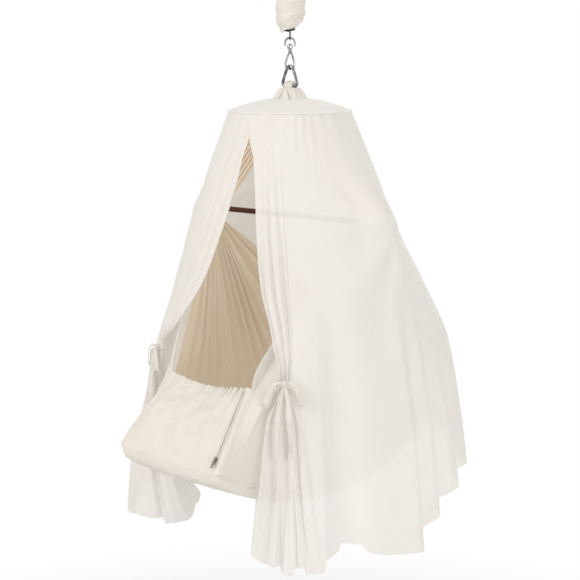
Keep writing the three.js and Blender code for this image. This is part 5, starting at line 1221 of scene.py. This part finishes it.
# Spreads: for each azimuth, the share of the way out at each level. Hems: (azimuth, share of the drop).
# Folds: (azimuth, share of the fold's depth). Sides: 1 is the right, -1 the left.
FRONT_SPREAD = {
    0: [0, 0.105, 0.264, 0.358, 0.441, 0.544, 0.623, 0.691],
    40: [0, 0.111, 0.258, 0.367, 0.517, 0.588, 0.676, 0.735],
}
BACK_SPREAD = {
    90: [0, 0.181, OVER_BAR, 0.582, 0.67, 0.759, 0.805, 0.835],
    110: [0, 0.158, 0.335, 0.5, 0.68, 0.79, 0.84, 0.86],
    130: [0, 0.134, 0.302, 0.511, 0.71, 0.8, 0.84, 0.87],
    160: [0, 0.146, 0.352, 0.611, 0.865, 0.982, 0.994, 1],
    180: [0, 0.146, 0.358, 0.623, 0.865, 0.935, 0.959, 0.971],
}
SPREADS = {
    1: {**FRONT_SPREAD, 60: [0, 0.128, 0.305, 0.431, 0.558, 0.647, 0.723, 0.77],
        75: [0, 0.155, 0.367, 0.5, 0.615, 0.705, 0.77, 0.81], **BACK_SPREAD},
    -1: {**FRONT_SPREAD, 60: [0, 0.128, 0.265, 0.4, 0.57, 0.7, 0.8, 0.87],
         75: [0, 0.16, 0.34, 0.487, 0.61, 0.73, 0.82, 0.88], **BACK_SPREAD},
}
HEMS = {
    1: [(0, 0.95), (26, 0.955), (31, 0.98), (36, 1.007), (40, 1.015), (51.2, 1.008), (52.2, 0.954), (55.5, 0.948),
        (57.6, 0.939), (58.7, 0.917), (61, 0.9155), (64, 0.915), (65.4, 0.931), (67, 0.94), (76, 0.953), (86, 0.958),
        (90, 0.905), (95, 0.862), (101, 0.838), (108, 0.802), (118, 0.785), (125, 0.775), (180, 0.769)],
    -1: [(0, 1), (40, 1.01), (52, 1.015), (68, 1.015), (75, 1.005), (90, 0.931), (110, 0.862), (125, 0.777),
         (180, 0.769)],
}
BACK_FOLDS = [(84, 1), (89, -0.8), (93.5, 0.6), (99, -1), (106, 0.9), (114, -0.8), (122, 0.7), (131, -0.6),
              (140, 0.5), (150, -0.5), (160, 0.4), (170, -0.3), (180, 0)]
FOLDS = {1: [(52, 0), (58, -1.1), (66, 0.1), (75, 0.5), *BACK_FOLDS], -1: [(62, 0), (75, 0.3), *BACK_FOLDS]}
FOLD_DEPTH = 24.0


def each_side(azimuth, read):
    """Reads a table for the right side at azimuths from 0 up and for the left side at those below."""
    azimuth = np.asarray(azimuth, float)
    return np.where(azimuth < 0, read(-1, np.abs(azimuth)), read(1, np.abs(azimuth)))


def canopy_spread(azimuth, height):
    """How far the canopy stands out: each azimuth's own curve down its levels, and a curve through those."""
    azimuth, height = np.broadcast_arrays(azimuth, height)

    def read(side, place):
        """One side's spread at these heights, for places given as azimuths from 0 to 180."""
        rows = np.stack([np.interp(-height, -LEVELS, row) * 0.4 + curve_through(-LEVELS, row, -height) * 0.6
                         for row in SPREADS[side].values()])
        return curve_through(list(SPREADS[side]), rows, place)

    return each_side(azimuth, read)


def hem_height(azimuth):
    """The canopy's lower edge."""
    return BAR_Z - CANOPY_DROP * each_side(azimuth, lambda side, place: curve_through(*zip(*HEMS[side]), place))


def canopy_fold(azimuth, height):
    """The deep folds that grow from the bar down to the hem."""
    fold = each_side(azimuth, lambda side, place: curve_through(*zip(*FOLDS[side]), place))
    return FOLD_DEPTH * fold * smooth(-height, -BAR_Z, CANOPY_DROP - BAR_Z)


def canopy_spot(azimuth, spread, height, fold=0.0):
    """A point on the canopy from its azimuth, spread and height, moved out by a fold."""
    a = np.radians(azimuth)
    across, along = mix(SKIRT_R, CANOPY_W, spread) + fold, mix(SKIRT_R, CANOPY_L, spread) + fold
    return point(across * np.sin(a), -along * np.cos(a), height)


def hem_thickness(down, length):
    """Cloth thickness that doubles over a turned hem at the foot."""
    return 1.0 + 0.9 * smooth(down, 1 - 22 / length, 1 - 18 / length)


def canopy_panel(name, start, end, node):
    """A hanging panel: the canopy's surface with deep folds, softer ones between and fine gathers at the rim."""
    down, across = grid(shares(190), shares(150))
    azimuth = mix(start, end, across)
    height = mix(SKIRT_Z + 1.5, hem_height(azimuth), down)
    fold = canopy_fold(azimuth, height) + soft_drape(azimuth, height, down)
    middle = canopy_spot(azimuth, canopy_spread(azimuth, height), height, fold)
    cloth(name, middle, hem_thickness(down, 1000), CANOPY, [node])


def soft_drape(azimuth, height, down):
    """What the deep folds leave out, in millimetres outwards.

    Shallow folds grow downwards, gathers at the rim soon fade, and folds spread from the bar's ends. The
    shallow ones fade towards the middle of the back, where the two sides meet.
    """
    deep = smooth(-height, -RIM_Z, -FLOOR_Z)
    shallow = ripples(azimuth / 7.5, down * 2.0, 80, 6, 0.8, 2.2)
    small = ripples(azimuth / 3.2, down * 3.5, 83, 5, 0.8, 2.0)
    meeting = smooth(180 - np.abs(azimuth), 0, 9)
    a = np.radians(azimuth)
    gathers = 1.2 * np.sin(a * 38 + 2 * np.sin(a * 7)) * np.exp(-down * 10)
    sideways, below = np.radians(np.abs(azimuth) - 90) * LOOP_OUT, BAR_Z - height
    angle, far = np.arctan2(sideways, below), np.hypot(sideways, below)
    drag = (np.cos(9 * angle + 1.3 * np.sin(3 * angle)) * smooth(far, 20, 110) * bell(far, 0, 250)
            * mix(2.0, 5.0, smooth(below, -60, 60)))
    return meeting * ((1.0 + 6.5 * deep) * shallow * smooth(down, 0, 0.2) + 1.6 * deep * small) + gathers + drag


# Each flap's rows are (place, value). Places run from 0 at the rim over 1 at the tie to 2 at the hem; inner and
# outer are the edges of the gathered part as shares of the seam's azimuth, spread how far the inner edge stands
# out, and drop how much lower the hem hangs at places across the gathered part, in millimetres.
FLAPS = {
    "right": dict(
        side=1, tie=BAR_Z - 354, swell=0, creases=(.41, .66),
        inner=[(0, .074), (.08, .074), (.175, .167), (.324, .24), (.474, .285), (.696, .353), (.802, .413),
               (.873, .44), (.975, .475), (1.033, .475), (1.239, .413), (1.536, .38), (2, .347)],
        outer=[(0, .4), (.175, .453), (.474, .507), (.696, .533), (.873, .547), (.975, .539), (1.033, .539),
               (1.239, .6), (1.536, .64), (2, .68)],
        spread=[(0, 0), (.175, .111), (.474, .282), (.696, .393), (.873, .494), (1, .526), (1.239, .573),
                (1.536, .623), (2, .67)],
        drop=[(0, -7), (.2, -6), (.25, -10), (.36, -25), (.4, -25), (.425, -11), (.6, -12), (.63, -31), (.755, -32),
              (.78, -14), (1, -15)]),
    "left": dict(
        side=-1, tie=BAR_Z - 326, swell=120, creases=(.18, .575),
        inner=[(0, -.072), (.084, -.072), (.187, -.04), (.286, -.029), (.378, 0), (.55, .061), (.675, .12),
               (.808, .24), (.903, .347), (.974, .499), (1.031, .499), (1.283, .657), (1.563, .848), (2, 1.12)],
        outer=[(0, .347), (.187, .413), (.497, .493), (.73, .547), (.903, .573), (.974, .565), (1.031, .565),
               (1.283, .668), (1.563, .764), (2, .88)],
        spread=[(0, 0), (.183, .108), (.497, .276), (.73, .385), (.903, .482), (1, .511), (1.283, .459),
                (1.563, .44), (2, .42)],
        drop=[(0, 0), (.15, 0), (.22, 17), (.4, 15), (.55, 15), (.59, -6), (.8, -3), (1, 0)]),
}
GATHERED = 16 / 26


def flap_surface(flap, across, down):
    """A front flap before its folds.

    Its gathered part runs between two edges that close in to the tie, and the rest goes on to the seam. The
    pleats stand square to the line across the gathered cloth, and below its tie the left flap doubles
    forward in one large fold.
    """
    side = flap["side"]
    hem = hem_height(side * 45.0)
    height = mix(SKIRT_Z + 1.5, hem, down)
    tied = flap["tie"]
    place = np.where(height > tied, (SKIRT_Z - height) / (SKIRT_Z - tied), 1 + (tied - height) / (tied - hem))
    read = lambda key: curve_through(*zip(*flap[key]), np.maximum(place, 0))
    inner, outer, inner_spread = SEAM * read("inner"), SEAM * read("outer"), read("spread")
    gathered = np.minimum(across / GATHERED, 1)
    beyond = np.maximum(across - GATHERED, 0) / (1 - GATHERED)
    azimuth = side * np.where(across < GATHERED, mix(inner, outer, gathered), mix(outer, SEAM, beyond))
    own = mix(SKIRT_Z + 1.5, hem_height(azimuth), down)
    spread = mix(inner_spread, canopy_spread(azimuth, own), smooth(gathered, 0, 1))
    start = canopy_spot(side * inner, inner_spread, height)
    end = canopy_spot(side * outer, canopy_spread(side * outer, height), height)
    run = end - start
    square = side * unit(point(run[..., 1], -run[..., 0], 0))
    swell = flap["swell"] * smooth(place, 1, 2) * arch(gathered)
    fold = np.where(beyond > 0, canopy_fold(azimuth, own), 0)
    surface = canopy_spot(azimuth, spread, own, fold) + square * swell[..., None]
    return surface, square, azimuth, own, gathered, beyond, bell(height, tied, 90)


def canopy_flap(word, seed):
    """A flap's cloth: pleats with finer ones between, drawn together at the tie, and a hemmed inner edge."""
    flap = FLAPS[word]
    down, across = grid(shares(210), shares(190))
    middle, square, azimuth, height, gathered, beyond, pull = flap_surface(flap, across, down)
    inside = smooth(1 - gathered, 0, 0.08) * smooth(gathered, 0, 0.05)
    wander = 0.5 * ripples(gathered * 5, down * 2.5, seed + 10, 5)
    below = smooth(down, 0.5, 0.62)
    depth = mix(mix(1.0, 7.0, smooth(down, 0.03, 0.45)), 13.0, below)
    depth = mix(depth, 5.4, pull) * (0.75 + 0.5 * ripples(gathered * 6, down, seed + 20, 4))
    phase = 2 * math.pi * (3 * gathered + 0.5 + 0.9 * wander * (1 - pull))
    wave = np.sin(2 * math.pi * 9 * gathered + 2.5 * wander + 1.3 * np.sin(5 * down + seed))
    fine = wave * (0.12 + 2.0 * pull + 0.5 * below)
    rest = soft_drape(azimuth, height, down) * smooth(beyond, 0, 0.3)
    lift = (draped(phase) * depth + fine) * inside
    out = unit(point(np.sin(np.radians(azimuth)), -np.cos(np.radians(azimuth)), 0))
    for crease in flap["creases"]:
        lift = lift - 14 * bell(gathered, crease, 0.022) * smooth(down, 0.7, 0.95)
    middle = middle + square * lift[..., None] + out * rest[..., None]
    middle[..., 2] -= np.interp(gathered, *zip(*flap["drop"])) * smooth(down, 0.8, 1) * (1 - smooth(beyond, 0, 0.06))
    thick = np.maximum(hem_thickness(down, 1060), 1.0 + 0.9 * (1 - smooth(across, 0.028, 0.036)))
    cloth(f"canopy_flap_{word}_hung", middle, thick, CANOPY,
          [f"canopy_flap_{word}"])


def waist(flap, across):
    """The middle of a flap's waist at a share across it, as the frame sets its tie."""
    hem = hem_height(flap["side"] * 45.0)
    downs = np.array([(SKIRT_Z - flap["tie"] + s * 13) / (SKIRT_Z - hem) for s in (-1, 1)])
    return flap_surface(flap, np.full(2, across), downs)[0].mean(0)


def canopy_cap():
    """The cap: a shallow dome from the gather to the rim with faint puckers, its piping and its hoop."""
    dome = lambda radius: 1 - np.clip((radius - CAP_HOLE_R) / (RIM_R - CAP_HOLE_R), 0, 1) ** 1.6
    s, a = grid(shares(60), full_turn(260))
    radius = mix(CAP_HOLE_R, RIM_R, s)
    pucker = 0.7 * np.sin(24 * a + 2 * np.sin(3 * a)) * np.exp(-s * 6)
    pucker = pucker + 0.8 * ripples(np.cos(a) * radius / 40, np.sin(a) * radius / 40, 91) * arch(s)
    middle = polar(radius, a, RIM_Z - CAP_THICK / 2 + CAP_RISE * dome(radius) + pucker)
    cloth("canopy_cap_sewn", middle, 1.3, CAP,
          ["canopy_cap"], wrap=True)
    a = full_turn(240)
    ring = polar(PIPING_RING_R, a, RIM_Z - CAP_THICK + 0.4)
    piping = bar_along(ring, 1.8 + 0.08 * np.sin(60 * a), (0, 0, 1), 14, True)
    make("cap_piping_corded", piping, CAP, "basket", ["cap_piping"])
    radius = RIM_R - CAP_THICK - 2 * SEAM_GAP - HOOP_R
    height = RIM_Z + CAP_RISE * dome(radius) - CAP_THICK - HOOP_R - 0.8
    make("cap_hoop_ring", bar_along(polar(radius, a, height), HOOP_R, (0, 0, 1), 16, True), BONING, "basket",
         ["cap_hoop"])


# ---------------------------------------------------------------- ties
KNOT_R, RIBBON_W, RIBBON_T, BAND_W = 8.0, 11.5, 1.8, 8.0
WAIST_W, WAIST_D = 16.6, 6 + 1.6 / 2 + 2.2


def ribbon(path, width, thick, flip):
    """A soft ribbon along a path, its edges a little curled: its width lies across the path, turned by flip."""
    tangent = unit(np.gradient(path, axis=0))
    side = unit(np.cross(tangent, [0, 1, 0]))
    wide = np.cross(side, tangent) * np.cos(flip)[:, None] + side * np.sin(flip)[:, None]
    up = np.cross(tangent, wide)
    s = shares(9, -1, 1)
    reach, curl = s[None, :, None] * width[:, None, None] / 2, (0.9 * (s**2 - 0.4))[None, :, None]
    return shell(path[:, None] + wide[:, None] * reach + up[:, None] * curl, thick)


def tie(word):
    """A band round the waist, a knot, two loops and two tails, from the waist's own place and direction."""
    flap = FLAPS[word]
    side = flap["side"]
    across = waist(flap, GATHERED) - waist(flap, 0)
    turn = math.degrees(math.atan2(side * across[1], side * across[0]))
    place = waist(flap, GATHERED / 2)

    def add(part, manner, patch):
        """One piece of the tie, set down at the waist."""
        make(f"tie_{word}_{part}_{manner}", moved(patch, about_z(turn), place), RIBBON, "basket",
             [f"tie_{word}_{part}"])

    a = np.radians(np.linspace(-50, -300, 90))
    flat = lambda value: np.sign(value) * np.abs(value) ** 0.55
    z, k = grid(shares(9, -0.5, 0.5), np.arange(90))
    grow = RIBBON_T / 2
    middle = point(side * (WAIST_W + grow) * flat(np.cos(a))[k], (WAIST_D + grow) * flat(np.sin(a))[k],
                   z * BAND_W + 0.5 * np.sin(k / 7))
    add("band", "wrapped", shell(middle, 1.5))

    front = -WAIST_D - RIBBON_T - REST_GAP
    face = front - KNOT_R * 0.7
    a, b = grid(full_turn(48), shares(25, 0.02, math.pi - 0.02))
    swell = KNOT_R * (0.93 + 0.07 * np.cos(2 * b) + 0.06 * np.sin(3 * a + 4 * b))
    ball = point(swell * np.cos(a) * np.sin(b), 0.68 * swell * np.sin(a) * np.sin(b), swell * np.cos(b))
    ball = ball.transpose(1, 0, 2)
    knot = capped(ball, [ball[0].mean(0), ball[-1].mean(0)], plane=(0, 2))
    add("knot", "tied", moved(knot, None, (0, face, 0)))

    s = shares(110)
    drop = -KNOT_R + 3.0
    for hand, label in ((-1, "left"), (1, "right")):
        bend = np.array([
            (5.5, face, 1.5), (16, face - 5, 3.5), (30, face - 8, -9), (38, face - 9, -30), (41, face - 8, -47),
            (40.5, face - 5, -52), (38, face - 3.2, -46), (31, face - 3, -28), (20, face - 2, -11),
            (5.5, face, -4)]) * [hand, 1, 1]
        path = even_path(bend, 110)
        width = RIBBON_W * (0.42 + 0.58 * smooth(np.minimum(s, 1 - s), 0, 0.2)) * (1 + 0.06 * np.sin(23 * s))
        patch = ribbon(path, width, 1.1, hand * (1.15 + 0.2 * np.sin(5 * s + hand)))
        add(f"loop_{label}", "soft", patch)
        path = even_path([
            (hand * 1.6, face, drop), (hand * 7, face - 6, drop - 22), (hand * 11.4, face - 10.6, drop - 60),
            (hand * 16.6, face - 19.2, drop - 115), (hand * 15, face - 24, drop - 168)], 110)
        path[:, 0] += hand * 1.8 * np.sin(8 * s + hand) * smooth(s, 0, 0.3)
        width = RIBBON_W * (0.45 + 0.5 * smooth(s, 0, 0.14)) * (1 + 0.07 * np.sin(19 * s + hand))
        patch = ribbon(path, width, 1.1, 1.25 + 0.4 * np.sin(4.2 * s + hand))
        add(f"tail_{label}", "soft", patch)


# ---------------------------------------------------------------- the floor and everything put together
FLOOR_DEPTH, FLOOR_REACH = -2400.0, 9000.0


def studio_floor():
    """A pale floor that takes the cradle's shadow and fades to white away from it."""
    radius = np.linspace(0.0, FLOOR_REACH, 12)[1:]
    profile = np.stack([radius, np.full(11, FLOOR_DEPTH)], 1)
    points, faces = turned(np.vstack([[0, FLOOR_DEPTH], profile]), 96)[:2]
    material, b = new_material("floor")
    place = b.put("TexCoord").outputs["Object"]
    cloud = b.noise(place, 0.6, 2.0)
    colour = b.ramp(cloud, [(0.3, (0.80, 0.80, 0.795)), (0.7, (0.83, 0.83, 0.825))])
    level = b.put("VectorMath", {0: place, 1: (1, 1, 0)}, operation="MULTIPLY")
    away = b.put("VectorMath", {0: level.outputs[0]}, operation="LENGTH").outputs["Value"]
    limits = {"Value": away, "From Min": 0.9, "From Max": 2.2}
    fade = b.put("MapRange", limits, interpolation_type="SMOOTHSTEP").outputs[0]
    pale = b.put("BsdfDiffuse", {"Color": colour})
    white = b.put("Emission", {"Color": (1, 1, 1, 1), "Strength": 1.0})
    both = b.put("MixShader", {"Fac": b.sum("MULTIPLY", fade, b.seen()), 1: pale.outputs[0], 2: white.outputs[0]})
    b.put("OutputMaterial", {"Surface": both.outputs[0]})
    mesh = bpy.data.meshes.new("floor")
    mesh.from_pydata((points * MM).tolist(), [], [face for block in faces for face in block.tolist()])
    mesh.materials.append(material)
    floor = bpy.data.objects.new("floor", mesh)
    bpy.context.scene.collection.objects.link(floor)


white_room()
studio_floor()
hanging_line()
spring_sleeve()
top_gather()
spreader_bar()
for side, word, seed in ((1, "right", 5), (-1, "left", 6)):
    bar_loop(side, word)
    band(side, word)
    side_wall(side, word, seed)
    wall_border(side, word)
foot_pouch()
head_panel()
base_tray()
mattress()
zipper()
canopy_cap()
for node, start, end in (("canopy_side_right", SEAM, BACK_SEAM), ("canopy_back_right", BACK_SEAM, 180),
                         ("canopy_side_left", -BACK_SEAM, -SEAM), ("canopy_back_left", -180, -BACK_SEAM)):
    canopy_panel(node + "_hung", start, end, node)
for word, seed in (("right", 1), ("left", 2)):
    canopy_flap(word, seed)
    tie(word)
